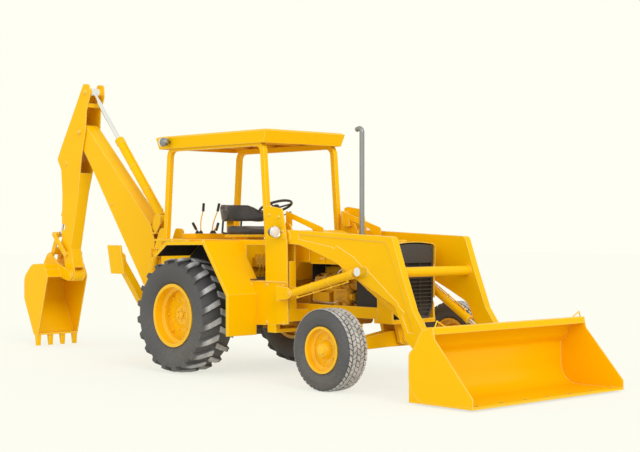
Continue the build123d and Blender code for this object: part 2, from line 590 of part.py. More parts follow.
def main_frame():
    """Frame rails, cross members, the loader's two masts and the plates that tie them in."""
    rail = block(-250, FRONT_AXLE_X + 30, -FRAME_HALF_WIDTH, -FRAME_HALF_WIDTH + FRAME_RAIL_THICKNESS,
                 FRAME_RAIL_Z, FRAME_RAIL_Z + FRAME_RAIL_HEIGHT)
    # Outer plate of a mast: foot of the side box, then the column up to the canopy's front post
    face = outline((SIDE_BOX_BACK_X, SIDE_BOX_BOTTOM_Z), (SIDE_BOX_BACK_X, SIDE_BOX_TOP_Z), (978, SIDE_BOX_TOP_Z),
                   (978, 1490), (947, 1725, 15), (1010, 1735, 40), (1225, 1705, 30), (MAST_FRONT_X - 25, ARM_PIVOT_Z + 80),
                   (MAST_FRONT_X, ARM_PIVOT_Z - 60), (MAST_FRONT_X + 20, SIDE_BOX_BOTTOM_Z + 35))
    outer = side_plate(face, -MAST_OUTER_Y, -MAST_OUTER_Y + MAST_PLATE)
    inner_high = -ARM_OUTER_Y + ARM_WIDTH + MAST_FORK_GAP
    column = outline((1005, SIDE_BOX_BOTTOM_Z + 60), (1005, 1560, 40), (1210, 1560, 40), (MAST_FRONT_X - 10, ARM_PIVOT_Z),
                     (MAST_FRONT_X + 10, SIDE_BOX_BOTTOM_Z + 60))
    inner = side_plate(column, inner_high, inner_high + MAST_PLATE)
    back = block(1001, 1001 + MAST_PLATE, -MAST_OUTER_Y + 1, inner_high + 1, SIDE_BOX_BOTTOM_Z + 61, 1690)
    ledge = block(765, 1290, -MAST_OUTER_Y - 8, -MAST_OUTER_Y + 2, SIDE_BOX_TOP_Z - 12, SIDE_BOX_TOP_Z - 1)
    foot = block(982, MAST_FRONT_X + 8, -MAST_OUTER_Y + 1, -FRAME_HALF_WIDTH + 1, SIDE_BOX_BOTTOM_Z + 60, SIDE_BOX_BOTTOM_Z + 180)
    front = block(MAST_FRONT_X - 4, MAST_FRONT_X + 10, -MAST_OUTER_Y + 30, inner_high + 1, SIDE_BOX_BOTTOM_Z + 60, 1180)
    boss = cross_pin(ARM_PIVOT_X, ARM_PIVOT_Z, 60, -MAST_OUTER_Y - 12, -MAST_OUTER_Y + 2)
    # Fork for the lift cylinder's base eye, in front of the mast
    y_eye = ARM_OUTER_Y + LIFT_CLEARANCE + LIFT_BARREL_DIAMETER * 0.56
    half_eye = y_eye - ARM_OUTER_Y - LIFT_CLEARANCE
    ear = outline((MAST_FRONT_X - 60, LIFT_BASE_Z + 70), (LIFT_BASE_X + 10, LIFT_BASE_Z + 55, 45),
                  (LIFT_BASE_X + 50, LIFT_BASE_Z - 45, 45), (MAST_FRONT_X - 60, LIFT_BASE_Z - 80))
    ears = [side_plate(ear, -y_eye + half_eye + PIN_PLAY, -y_eye + half_eye + PIN_PLAY + 14),
            side_plate(ear, -y_eye - half_eye - PIN_PLAY - 12, -y_eye - half_eye - PIN_PLAY),
            block(MAST_FRONT_X - 70, MAST_FRONT_X - 30, -y_eye - half_eye - PIN_PLAY - 12, -MAST_OUTER_Y + 2,
                  LIFT_BASE_Z - 80, LIFT_BASE_Z + 70),
            cross_pin(LIFT_BASE_X, LIFT_BASE_Z, 46, -y_eye - half_eye - 24, -y_eye - half_eye - PIN_PLAY - 2)]
    drops = both_sides(block(1010, 1130, -MAST_OUTER_Y + 1, -MAST_OUTER_Y + 60, SIDE_BOX_BOTTOM_Z - 60, SIDE_BOX_BOTTOM_Z + 100))
    cross = [block(1010, 1130, -MAST_OUTER_Y + 20, MAST_OUTER_Y - 20, SIDE_BOX_BOTTOM_Z - 60, SIDE_BOX_BOTTOM_Z - 25), *drops,
             block(FRONT_AXLE_X - 120, FRONT_AXLE_X - 80, -FRAME_HALF_WIDTH + 1, FRAME_HALF_WIDTH - 1, FRAME_RAIL_Z, FRAME_RAIL_Z + 60)]
    notch = cross_pin(0, REAR_TYRE_RADIUS, 190 + 2 * SEAT_GAP, -MAST_OUTER_Y, MAST_OUTER_Y)
    return joined(both_sides(joined(rail, outer, inner, back, ledge, foot, front, boss, ears)), cross) - notch


def side_boxes():
    """Tank and step box behind each mast's foot."""
    body = block(SIDE_BOX_BACK_X + 5, 970, -MAST_OUTER_Y + MAST_PLATE + SEAT_GAP, -FRAME_HALF_WIDTH - 8,
                 SIDE_BOX_BOTTOM_Z + 8, FLOOR_Z - FLOOR_THICKNESS - SEAT_GAP)
    return apart(both_sides(fillet(body.edges().filter_by(Axis.Y), 18)))


def drivetrain():
    """Clutch housing, gearbox and rear axle with its final drives."""
    z = REAR_TYRE_RADIUS
    hub_y = hub_face(REAR_TRACK, REAR_TYRE_WIDTH, REAR_DISH) - PIN_PLAY
    clutch = Pos(ENGINE_BACK_X - 1, 0, 780) * (Rot(0, -90, 0) * Cone(215, 175, 260, align=(Align.CENTER, Align.CENTER, Align.MIN)))
    box = block(220, 1180, -165, 165, 500, 880)
    tail = block(-260, 221, -190, 190, 430, 860)
    axle = cross_pin(0, z, 190, -hub_y, hub_y)
    drives = [cross_pin(0, z, 300, sign * 380 - 50, sign * 380 + 50) for sign in (1, -1)]
    return joined(box, tail, clutch, axle, drives)


def engine():
    """Open engine: sump, block, head, rocker cover, manifolds, pump, filter, dynamo, fan and its pulley."""
    back, front, half = ENGINE_BACK_X, ENGINE_FRONT_X, ENGINE_HALF_WIDTH
    pitch = (front - back - 120) / ENGINE_CYLINDERS
    sump = cross_plate(outline((-110, SUMP_Z, 40), (110, SUMP_Z, 40), (140, SUMP_Z + 150), (-140, SUMP_Z + 150)), back + 30, front - 60)
    crankcase = block(back, front, -half, half, SUMP_Z + 149, BLOCK_TOP_Z)
    head = block(back + 30, front - 30, -half + 25, half - 25, BLOCK_TOP_Z - 1, BLOCK_TOP_Z + 95)
    cover = cross_plate(outline((-90, BLOCK_TOP_Z + 94), (90, BLOCK_TOP_Z + 94), (80, BLOCK_TOP_Z + 165, 30), (-80, BLOCK_TOP_Z + 165, 30)),
                        back + 60, front - 60)
    ports = []
    for step in range(ENGINE_CYLINDERS):
        x = back + 60 + pitch * (step + 0.5)
        ports.append(bar((x, 0, BLOCK_TOP_Z + 45), (x, half + 45, BLOCK_TOP_Z + 45), 44))
        ports.append(bar((x, 0, BLOCK_TOP_Z + 40), (x, -half - 35, BLOCK_TOP_Z + 40), 40))
        ports.append(bar((x, -half + 5, BLOCK_TOP_Z - 60), (x, -half - 22, BLOCK_TOP_Z - 60), 90))
    exhaust = bar((back + 90, half + 45, BLOCK_TOP_Z + 45), (front - 90, half + 45, BLOCK_TOP_Z + 45), 62)
    riser = bar((STACK_X, half + 45, BLOCK_TOP_Z + 45), (STACK_X, half + 45, BLOCK_TOP_Z + 130), 56)
    intake = bar((back + 90, -half - 35, BLOCK_TOP_Z + 40), (front - 90, -half - 35, BLOCK_TOP_Z + 40), 58)
    pump = [block(back + 90, back + 330, -half - 95, -half + 1, SUMP_Z + 210, SUMP_Z + 310),
            bar((back + 130, -half - 70, SUMP_Z + 300), (back + 130, -half - 70, SUMP_Z + 370), 62)]
    filters = [bar((x, -half - 56, SUMP_Z + 150), (x, -half - 56, SUMP_Z + 330), 92) for x in (back + 420, back + 540)]
    filters.append(block(back + 370, back + 590, -half - 100, -half + 1, SUMP_Z + 325, SUMP_Z + 350))
    dynamo = [bar((front - 150, -half - 70, SUMP_Z + 275), (front - 10, -half - 70, SUMP_Z + 275), 130),
              block(front - 120, front - 60, -half - 60, -half + 1, SUMP_Z + 230, SUMP_Z + 290)]
    nose = bar((front - 1, 0, FAN_Z), (front + 60, 0, FAN_Z), 90)
    crank = bar((front - 1, 0, SUMP_Z + 190), (front + 45, 0, SUMP_Z + 190), 150)
    blades = []
    for step in range(5):
        blade = Pos(front + 48, 0, FAN_Z) * (Rot(step * 72, 0, 0) * (Pos(0, 0, 110) * (Rot(0, 0, 28) * Box(5, 90, 155))))
        blades.append(blade)
    return joined(crankcase, sump, head, cover, ports, exhaust, riser, intake, pump, filters, dynamo, nose, crank, blades)


def radiator():
    """Radiator core behind the grille, the hollow shroud behind it and the ring round the fan."""
    x, back, half = RADIATOR_X, SHROUD_BACK_X, 240
    core = block(x, x + 80, -half - 14, half + 14, GRILLE_BOTTOM_Z, RADIATOR_TOP_Z)
    shroud = block(back, x + 1, -half, half, SHROUD_BOTTOM_Z, RADIATOR_TOP_Z - 2)
    shroud -= block(back + 10, x + 2, -half + 8, half - 8, SHROUD_BOTTOM_Z + 8, RADIATOR_TOP_Z - 10)
    ring = bar((back - 18, 0, FAN_Z), (back + 2, 0, FAN_Z), 430)
    hole = bar((back - 20, 0, FAN_Z), (back + 20, 0, FAN_Z), 406)
    return joined(core, joined(shroud, ring) - hole)


def front_support():
    """Casting that carries the axle's pivot, the radiator and the grille."""
    x = FRONT_AXLE_X
    z = FRONT_TYRE_RADIUS
    base = block(x - 10, HOOD_FRONT_X - 10, -FRAME_HALF_WIDTH + 1, FRAME_HALF_WIDTH - 1, GRILLE_BOTTOM_Z - 40, GRILLE_BOTTOM_Z - SEAT_GAP)
    cheek = outline((x + 30 + SEAT_GAP, GRILLE_BOTTOM_Z - 40), (HOOD_FRONT_X - 10, GRILLE_BOTTOM_Z - 40, 30), (HOOD_FRONT_X - 30, 820, 60),
                    (x + 30 + SEAT_GAP, 835))
    cheeks = both_sides(side_plate(cheek, -FRAME_HALF_WIDTH, -FRAME_HALF_WIDTH + 22))
    hangers = []
    for x_low in (x - 115, x + 75):
        plate = outline((-120, GRILLE_BOTTOM_Z - 35), (120, GRILLE_BOTTOM_Z - 35), (60, z + 10, 40), (-60, z + 10, 40))
        hanger = cross_plate(plate, x_low, x_low + 40)
        hangers.append(hanger - bar((x - 150, 0, z + 60), (x + 150, 0, z + 60), 70 + 2 * SEAT_GAP))
    tie = block(x - 115, x + 115, -120, 120, GRILLE_BOTTOM_Z - 40, GRILLE_BOTTOM_Z - SEAT_GAP)
    tow = block(HOOD_FRONT_X - 11, HOOD_FRONT_X + 60, -60, 60, GRILLE_BOTTOM_Z - 40, GRILLE_BOTTOM_Z - SEAT_GAP)
    hole = bar((HOOD_FRONT_X + 30, 0, GRILLE_BOTTOM_Z - 60), (HOOD_FRONT_X + 30, 0, GRILLE_BOTTOM_Z + 10), 26)
    return joined(base, cheeks, hangers, tie, tow) - hole


def hood():
    """Engine hood: crowned top, sides down to the open engine, and the frame round the grille."""
    half, back, front = HOOD_HALF_WIDTH, HOOD_BACK_X, HOOD_FRONT_X
    top, bottom, sheet = HOOD_TOP_Z, HOOD_BOTTOM_Z, HOOD_SHEET
    with BuildSketch(Plane.YZ) as section:
        with BuildLine():
            Polyline((-half, bottom), (-half, top - 45))
            ThreePointArc((-half, top - 45), (-half + 22, top - 22), (-half + 55, top - 14))
            ThreePointArc((-half + 55, top - 14), (0, top), (half - 55, top - 14))
            ThreePointArc((half - 55, top - 14), (half - 22, top - 22), (half, top - 45))
            Polyline((half, top - 45), (half, bottom), (half - sheet, bottom), (half - sheet, top - 48))
            ThreePointArc((half - sheet, top - 48), (half - 26, top - 28), (half - 57, top - 20))
            ThreePointArc((half - 57, top - 20), (0, top - sheet), (57 - half, top - 20))
            ThreePointArc((57 - half, top - 20), (26 - half, top - 28), (sheet - half, top - 48))
            Polyline((sheet - half, top - 48), (sheet - half, bottom), (-half, bottom))
        make_face()
    shell = extrude(Pos(back, 0, 0) * section.sketch, front - back, dir=(1, 0, 0))
    posts = []
    for sign in (1, -1):
        y_low, y_high = sorted((sign * (half - 0.5), sign * (half - 19)))
        posts.append(block(front - 90, front - 6, y_low, y_high, 836, bottom + 2))
    hole = bar((STACK_X, 0, top - 80), (STACK_X, 0, top + 10), STACK_DIAMETER + 24)
    return joined(shell, posts) - hole


def grille():
    """Black grille panel: plain crowned upper part, level slats below it and a sloping foot."""
    half = HOOD_HALF_WIDTH - 20
    x = HOOD_FRONT_X - 40
    top, bottom = GRILLE_TOP_Z, GRILLE_BOTTOM_Z
    foot = [(half, bottom + 130), (half - 60, bottom, 25), (60 - half, bottom, 25), (-half, bottom + 130)]
    face = outline((-half, top), (45 - half, top + 23), (0, top + 37), (half - 45, top + 23), (half, top), *foot)
    window = outline((22 - half, GRILLE_BLANK_Z), (half - 22, GRILLE_BLANK_Z), (half - 22, bottom + 120),
                     (half - 75, bottom + 22), (75 - half, bottom + 22), (22 - half, bottom + 120))
    frame = cross_plate(face, x, x + 26) - cross_plate(window, x - 1, x + 27)
    pitch = (GRILLE_BLANK_Z - bottom - 22) / GRILLE_SLATS
    slats = []
    for step in range(1, GRILLE_SLATS):
        z = bottom + 22 + step * pitch
        width = half - 20 if z > bottom + 120 else half - 68 + (z - bottom - 22) * 0.5
        slats.append(block(x + 4, x + 22, -width, width, z - 5, z + 5))
    backing = cross_plate(face, x - 5, x + 1)
    posts = [block(x - 4, x + 20, y - 4, y + 4, bottom + 4, GRILLE_BLANK_Z + 4) for y in (-half / 3, half / 3)]
    return joined(frame, slats, backing, posts)


def exhaust_stack():
    """Upright exhaust pipe with a collar, bent back at its end."""
    r = STACK_DIAMETER / 2
    top = STACK_TOP_Z - r
    path = FilletPolyline((STACK_X, 0, HOOD_TOP_Z - 60), (STACK_X, 0, top), (STACK_X - 75, 0, top - 22), radius=38)
    pipe = sweep(Plane(origin=path @ 0, z_dir=path % 0) * Circle(r), path)
    bore = bar((STACK_X - 110, 0, top - 32), (STACK_X - 45, 0, top - 14), STACK_DIAMETER - 8)
    collar = bar((STACK_X, 0, HOOD_TOP_Z + 45), (STACK_X, 0, HOOD_TOP_Z + 85), STACK_DIAMETER + 14)
    return joined(pipe, collar) - bore


def cowl():
    """Fire wall box behind the hood, the steering pedestal with its column, and a brace beside each mast."""
    back, front, half = 1000, HOOD_BACK_X - 3, 300
    face = outline((back, 986), (back, 1470, 30), (1180, 1488, 30), (front, 1440), (front, 1165), (1180, 1165), (1060, 986))
    hollow = outline((back + 12, 998), (back + 12, 1460), (1180, 1476), (front - 12, 1430), (front - 12, 1177), (1172, 1177), (1052, 998))
    body = side_plate(face, -half, half) - side_plate(hollow, -half + 12, half - 12)
    floor = FLOOR_Z + SEAT_GAP
    tower = side_plate(outline((730, floor), (1004, floor), (1004, 1450), (800, 1450, 60), (600, 1330, 40)), -110, 110)
    column = bar(column_point(22 + PIN_PLAY), column_point(660), 56)
    mast_face = ARM_OUTER_Y - ARM_WIDTH - MAST_FORK_GAP - MAST_PLATE - SEAT_GAP
    brace_face = outline((1100, 1525), (1094, 1686, 15), (1650, 1513, 25), (1650, 1430, 20), (1560, 1430), (1480, 1505),
                         (1190, 1600), (1190, 1525))
    tabs, braces = [], []
    for sign in (1, -1):
        low, high = sorted((sign * (half - 2), sign * mast_face))
        tabs.append(block(1195, 1272, low, high, 1400, 1412))
        low, high = sorted((sign * 400, sign * 406))
        near, far = sorted((sign * 402, sign * mast_face))
        braces.append(joined(side_plate(brace_face, low, high), block(1110, 1180, near, far, 1530, 1542)))
    return apart(joined(body, tower, column, tabs), braces)


def column_point(distance):
    """Point on the steering column, measured down from the middle of the wheel."""
    tilt = radians(STEERING_COLUMN_TILT)
    return STEERING_WHEEL_X + sin(tilt) * distance, 0, STEERING_WHEEL_Z - cos(tilt) * distance


def steering_wheel():
    """Three-spoke wheel on its tilted column."""
    plane = Plane(origin=column_point(0), z_dir=Vector(*column_point(-1)) - Vector(*column_point(0)))
    ring_radius = STEERING_WHEEL_DIAMETER / 2 - 14
    hub = Cylinder(38, 44)
    spokes = [Rot(0, 0, turn) * (Pos(ring_radius / 2, 0, 0) * Box(ring_radius, 24, 12)) for turn in (90, 210, 330)]
    return plane * joined(Torus(ring_radius, 14), hub, spokes)


def platform():
    """Floor plate, seat pedestal, rear deck and the inner walls beside the wheels."""
    floor = block(150, 955, -470, 470, FLOOR_Z - FLOOR_THICKNESS, FLOOR_Z)
    riser = block(150, 162, -470, 470, FLOOR_Z - 1, DECK_Z - 60)
    middle = block(-300, 162, -470, 470, DECK_Z - 70, DECK_Z - 60)
    deck = block(DECK_BACK_X, -300, -560, 560, DECK_Z - DECK_THICKNESS, DECK_Z)
    step = block(-312, -300, -470, 470, DECK_Z - 70, DECK_Z - 1)
    wall = outline((DECK_BACK_X + 20, 1120), (DECK_BACK_X + 20, DECK_Z - 1), (896, DECK_Z - 1), (896, 1337), (560, 1337, 30),
                   (560, FLOOR_Z - 1), (640, FLOOR_Z - 1), (640, 800), (-300, 860))
    walls = both_sides(side_plate(wall, -478, -466))
    feet = both_sides(block(926, 998, -524, -469, FLOOR_Z - FLOOR_THICKNESS, FLOOR_Z))
    legs = both_sides(block(-300, -240, -470, -FRAME_HALF_WIDTH - SEAT_GAP, FRAME_RAIL_Z + 20, 880))
    return joined(floor, riser, middle, deck, step, walls, feet, legs)


def fender(sign):
    """Wheel guard of folded sheet with a lip along its outer edge."""
    t = FENDER_SHEET
    points = [(-395, 1228), (-195, 1365), (448, 1373), (840, 841), (840, 425)]
    inner = [(-395 + t, 1228 - t), (-195 + t / 2, 1365 - t), (448 - t / 2, 1373 - t), (840 - t, 841 - t / 2), (840 - t, 425)]
    sheet_face = outline(*points, *reversed(inner))
    lip_in = [(-395 + t, 1228 - FENDER_LIP), (-195 + 12, 1365 - FENDER_LIP), (448 - 16, 1373 - FENDER_LIP), (840 - FENDER_LIP, 841 - 12), (840 - FENDER_LIP, 425)]
    lip_face = outline(*points, *reversed(lip_in))
    sheet = side_plate(sheet_face, -FENDER_OUTER_Y, -FENDER_INNER_Y)
    lip = side_plate(lip_face, -FENDER_OUTER_Y, -FENDER_OUTER_Y + t)
    mast_room = block(SIDE_BOX_BACK_X - 5, 900, -MAST_OUTER_Y - SEAT_GAP, 0, 400, 1060)
    shape = joined(sheet, lip) - mast_room
    return shape if sign < 0 else mirror(shape, about=Plane.XZ)


def canopy_roof():
    """Flat roof: top sheet and deep side beams that lean in toward their lower edge."""
    back, front, half, top = ROOF_BACK_X, ROOF_FRONT_X, ROOF_HALF_WIDTH, ROOF_TOP_Z
    low = top - ROOF_BEAM_HEIGHT
    outer = loft([Pos(0, 0, low) * Rectangle(front - back - 90, 2 * half - 30), Pos(0, 0, top - 16) * Rectangle(front - back, 2 * half)])
    crown = loft([Pos(0, 0, top - 17) * Rectangle(front - back, 2 * half), Pos(0, 0, top) * Rectangle(front - back - 60, 2 * half - 60)])
    hollow = loft([Pos(0, 0, low - 1) * Rectangle(front - back - 110, 2 * half - 50), Pos(0, 0, top - 16 - ROOF_SHEET) * Rectangle(front - back - 24, 2 * half - 24)])
    roof = Pos((front + back) / 2, 0, 0) * (joined(outer, crown) - hollow)
    ribs = [block(x, x + 12, -half + 26, half - 26, low + 30, top - 20) for x in (-560, -120, 320)]
    return joined(roof, ribs)


def canopy_hoop(y):
    """Bent square tube of one side: front post, rail under the roof's ribs and rear post, cut level at its feet."""
    rail_z = ROOF_TOP_Z - ROOF_BEAM_HEIGHT + 30 - SEAT_GAP - POST_SIZE / 2
    corners = [(967.5, y, FLOOR_Z - 30), (849, y, rail_z), (-711, y, rail_z), (-787, y, DECK_Z - 30)]
    path = FilletPolyline(*corners, radius=POST_BEND)
    start = Plane(origin=path @ 0, x_dir=(0, 1, 0), z_dir=path % 0)
    bore = POST_SIZE - 2 * POST_WALL
    outer = sweep(start * Rectangle(POST_SIZE * 0.9, POST_SIZE), path)
    inner = sweep(start * Rectangle(POST_SIZE * 0.9 - 2 * POST_WALL, bore), path)
    below = [block(900, 1040, y - 50, y + 50, FLOOR_Z - 80, FLOOR_Z + SEAT_GAP),
             block(-850, -700, y - 50, y + 50, DECK_Z - 80, DECK_Z + SEAT_GAP)]
    seam = block(-900, 1100, y - 50, y + 50, rail_z - POST_BEND - 30, rail_z - POST_BEND - 30 + SEAT_GAP)
    return outer - inner - below[0] - below[1] - seam


def canopy_posts():
    """The two hoops that carry the roof; each is a rail with its bends, and two posts under it."""
    return apart(canopy_hoop(-POST_Y), canopy_hoop(POST_Y))


def seat_base():
    """Pedestal and slide frame under the seat."""
    z = DECK_Z - 60 + SEAT_GAP
    column = block(SEAT_X - 110, SEAT_X + 110, -110, 110, z, SEAT_Z - 28)
    plate = block(SEAT_X - 190, SEAT_X + 190, -190, 190, SEAT_Z - 29, SEAT_Z - SEAT_GAP)
    stay_x = SEAT_BACK_X - SEAT_BACK_RADIUS - SEAT_GAP
    bracket = block(stay_x - 10, SEAT_X - 150, -45, 45, SEAT_Z - 22, SEAT_Z - SEAT_GAP)
    stay = block(stay_x - 12, stay_x, -45, 45, SEAT_Z - 22, SEAT_Z + 240)
    return joined(column, plate, bracket, stay)


def seat_cushion():
    """Padded seat, square in plan with round corners."""
    w, d = SEAT_WIDTH / 2, SEAT_DEPTH / 2
    face = outline((SEAT_X - d, -w, 70), (SEAT_X + d, -w, 90), (SEAT_X + d, w, 90), (SEAT_X - d, w, 70))
    body = level_plate(face, SEAT_Z, SEAT_Z + CUSHION_THICKNESS)
    return fillet(body.edges().group_by(Axis.Z)[-1], 25)


def seat_back():
    """Low backrest that wraps round the driver."""
    radius = SEAT_BACK_RADIUS - 70
    centre = SEAT_BACK_X
    z = SEAT_Z + CUSHION_THICKNESS + 55
    ring = Cylinder(radius + 70, 190, align=(Align.CENTER, Align.CENTER, Align.MIN))
    ring -= Cylinder(radius, 190, align=(Align.CENTER, Align.CENTER, Align.MIN))
    front_cut = block(20, radius + 100, -radius - 100, radius + 100, -1, 191)
    back = Pos(centre, 0, z) * (ring - front_cut)
    return fillet(back.edges().group_by(Axis.Z)[-1], 22)


def backhoe_controls():
    """Console behind the seat with four levers and their grips."""
    console = block(-800, -560, -270, 270, DECK_Z + SEAT_GAP, DECK_Z + 60)
    console = chamfer(console.edges().group_by(Axis.Z)[-1], 14)
    levers = []
    # Place across the console, lean forward and sideways, height of the grip's top
    for y, lean_x, lean_y, height in ((-190, -60, -50, 150), (-60, 20, 10, 400), (70, 60, 30, 400), (180, 40, 60, 150)):
        start = (-680, y, DECK_Z + 55)
        middle = (-680 + lean_x, y + lean_y, DECK_Z + height * 0.6)
        end = (-680 + lean_x * 1.1, y + lean_y, DECK_Z + height)
        levers += [bar(start, middle, 14), bar(middle, end, 14), Pos(*middle) * Sphere(7.5)]
        grip_start = tuple(a + (b - a) * 0.3 for a, b in zip(middle, end))
        levers.append(bar(grip_start, end, 34))
    return joined(console, levers)


def work_lamps():
    """Two front lamps on the masts and two rear lamps under the roof's back corners."""
    # Place of the lamp, its diameter, the direction that it faces and the inner end of its bracket
    table = [(1165, 650, 1470, 120, 1, MAST_OUTER_Y + SEAT_GAP),
             (-650, 617, 2450, 100, -1, ROOF_HALF_WIDTH - 5)]
    lamps = []
    for sign in (1, -1):
        for x, y, z, diameter, face, inner in table:
            start = (x - face * 35, sign * y, z)
            bowl = Plane(origin=start, z_dir=(face, 0, 0)) * Cone(26, diameter / 2 - 4, 75, align=(Align.CENTER, Align.CENTER, Align.MIN))
            ring = bar((x + face * 36, sign * y, z), (x + face * 52, sign * y, z), diameter)
            y_low, y_high = sorted((sign * inner, sign * y))
            bracket = block(x - 12, x + 12, y_low, y_high, z - 12, z + 12)
            lamps.append(joined(bowl, ring, bracket))
    return apart(lamps)


def rear_frame():
    """Backhoe's main frame: box across the machine, swing lugs, stabilizer forks and the ties to the rails."""
    face_x = SWING_X + 150
    low, high = STABILIZER_PIVOT_Z - 110, 700
    beam = block(STABILIZER_X + 52, STABILIZER_X + 230, -STABILIZER_PIVOT_Y + 40, STABILIZER_PIVOT_Y - 40, low, high)
    back = block(face_x, STABILIZER_X + 60, -230, 230, low, high)
    lugs = []
    for z_low, z_high in ((low, low + 70), (high - 70, high)):
        lug = block(SWING_X, face_x + 5, -70, 70, z_low, z_high)
        nose = Pos(SWING_X, 0, z_low) * Cylinder(85, z_high - z_low, align=(Align.CENTER, Align.CENTER, Align.MIN))
        lugs += [lug, nose]
    rails = both_sides(block(STABILIZER_X + 200, -250 - SEAT_GAP, -FRAME_HALF_WIDTH, -FRAME_HALF_WIDTH + 40, 560, 700))
    uprights = []
    for sign in (1, -1):
        y_low, y_high = sorted((sign * (STABILIZER_PIVOT_Y - 115), sign * (STABILIZER_PIVOT_Y - 75)))
        uprights.append(block(STABILIZER_X - 60, STABILIZER_X + 60, y_low, y_high, high - 20, STABILIZER_HEAD_Z + 60))
    brace = block(STABILIZER_X + 20, STABILIZER_X + 60, -STABILIZER_PIVOT_Y + 76, STABILIZER_PIVOT_Y - 76, STABILIZER_HEAD_Z - 60, STABILIZER_HEAD_Z + 60)
    ties = both_sides(block(STABILIZER_X + 20, DECK_BACK_X + 60, -STABILIZER_PIVOT_Y + 76, -STABILIZER_PIVOT_Y + 115, STABILIZER_HEAD_Z - 20, STABILIZER_HEAD_Z + 60))
    forks = []
    for sign in (1, -1):
        start = (STABILIZER_X - 68, sign * STABILIZER_PIVOT_Y, STABILIZER_PIVOT_Z)
        forks.append(bar(start, (STABILIZER_X + 68, *start[1:]), STABILIZER_PIN_DIAMETER))
        for x_low in (STABILIZER_X - 62, STABILIZER_X + 46):
            y_low, y_high = sorted((sign * 180, sign * (STABILIZER_PIVOT_Y + 45)))
            plate = block(x_low, x_low + 16, y_low, y_high, STABILIZER_PIVOT_Z - 60, STABILIZER_PIVOT_Z + 60)
            forks.append(plate)
            head_low, head_high = sorted((sign * (STABILIZER_PIVOT_Y - 80), sign * (STABILIZER_HEAD_Y + 45)))
            forks.append(block(x_low, x_low + 16, head_low, head_high, STABILIZER_HEAD_Z - 40, STABILIZER_HEAD_Z + 55))
    return joined(beam, back, lugs, rails, uprights, brace, ties, forks)


def swing_post():
    """Casting that swings the boom: knuckle on the king pins and two tall cheeks."""
    low, high = STABILIZER_PIVOT_Z - 110, 700
    hub = bar((SWING_X, 0, low + 70 + PIN_PLAY), (SWING_X, 0, high - 70 - PIN_PLAY), 150)
    arm = block(SWING_X - 120, SWING_X, -75, 75, low + 90, high - 90)
    cheek = outline((SWING_X - 240, low + 60, 60), (SWING_X - 105, low + 60), (SWING_X - 95, high + 25), (SWING_X + 150, high + 120, 60),
                    (SWING_X + 200, 1180, 80), (SWING_X + 185, 1500, 50), (SWING_X + 60, 1510, 50),
                    (BOOM_FOOT_X - 70, BOOM_FOOT_Z + 145, 80), (BOOM_FOOT_X - 125, BOOM_FOOT_Z, 60))
    inner = BOOM_HALF_WIDTH + 6
    cheeks = both_sides(side_plate(cheek, -inner - 28, -inner))
    web = block(SWING_X - 235, SWING_X - 105, -inner - 1, inner + 1, low + 91, low + 235)
    pins = both_sides(cross_pin(BOOM_FOOT_X, BOOM_FOOT_Z, BOOM_FOOT_PIN, -inner - 40, -66))
    heads = [cross_pin(BOOM_CYLINDER_BASE_X, BOOM_CYLINDER_BASE_Z, 60, -inner - 36, -inner - 1),
             cross_pin(BOOM_CYLINDER_BASE_X, BOOM_CYLINDER_BASE_Z, 60, inner + 1, inner + 36)]
    return joined(hub, arm, cheeks, web, pins, heads)


def boom():
    """Deep-rooted hollow boom: two side plates, top and bottom strips, foot sleeve and crowd lugs."""
    half, t = BOOM_HALF_WIDTH, BOOM_PLATE
    tip, foot = (BOOM_TIP_X, BOOM_TIP_Z), (BOOM_FOOT_X, BOOM_FOOT_Z)
    side = outline((tip[0] - 120, tip[1] - 60, 90), (tip[0] - 60, tip[1] + 130, 90), (tip[0] + 130, tip[1] + 40),
                   (-1650, 1560, 60), (-1575, 1370, 60), (-1575, 1120, 60), (foot[0] + 105, foot[1] + 80, 70), (foot[0] + 95, foot[1] - 95, 85),
                   (foot[0] - 90, foot[1] - 95, 85), (-2150, 1323, 500), (-2830, 2207, 0.1), (tip[0] - 20, tip[1] - 140, 60))
    plates = both_sides(side_plate(side, -half, -half + t))
    strip_top = side_plate(outline((tip[0] + 100, tip[1] + 80), (tip[0] + 96, tip[1] + 62), (-1680, 1535), (-1660, 1560)), -half + 1, half - 1)
    strip_bottom = side_plate(outline((-2830, 2207), (-2818, 2216), (-2600, 1933), (-2612, 1924)), -half + 1, half - 1)
    end = side_plate(outline((tip[0] + 95, tip[1] + 70), (tip[0] + 110, tip[1] + 60), (-2985, 2430), (-3000, 2430)), -half + 1, half - 1)
    sleeves = both_sides(cross_pin(foot[0], foot[1], 150, -half - 5, -66))
    lug = outline((CROWD_BASE_X - 110, CROWD_BASE_Z - 100), (CROWD_BASE_X - 60, CROWD_BASE_Z + 40, 40), (CROWD_BASE_X + 50, CROWD_BASE_Z + 50, 50),
                  (CROWD_BASE_X + 50, CROWD_BASE_Z - 60, 40), (CROWD_BASE_X - 40, CROWD_BASE_Z - 180))
    lugs = both_sides(side_plate(lug, -CROWD_EYE_WIDTH / 2 - 18, -CROWD_EYE_WIDTH / 2 - PIN_PLAY))
    lug_bar = block(-1700, -1560, -half + 1, half - 1, 1440, 1460)
    eye_heads = both_sides(cross_pin(BOOM_CYLINDER_EYE_X, BOOM_CYLINDER_EYE_Z, 70, -half, -38))
    bosses = both_sides(cross_pin(tip[0], tip[1], 130, -half - 4, -half + t))
    foot_bore = cross_pin(foot[0], foot[1], BOOM_FOOT_PIN + 2 * BORE_PLAY, -half - 10, half + 10)
    tip_bore = cross_pin(tip[0], tip[1], BOOM_TIP_PIN + 2 * BORE_PLAY, -half - 10, half + 10)
    return joined(plates, strip_top, strip_bottom, end, sleeves, lugs, lug_bar, eye_heads, bosses) - foot_bore - tip_bore


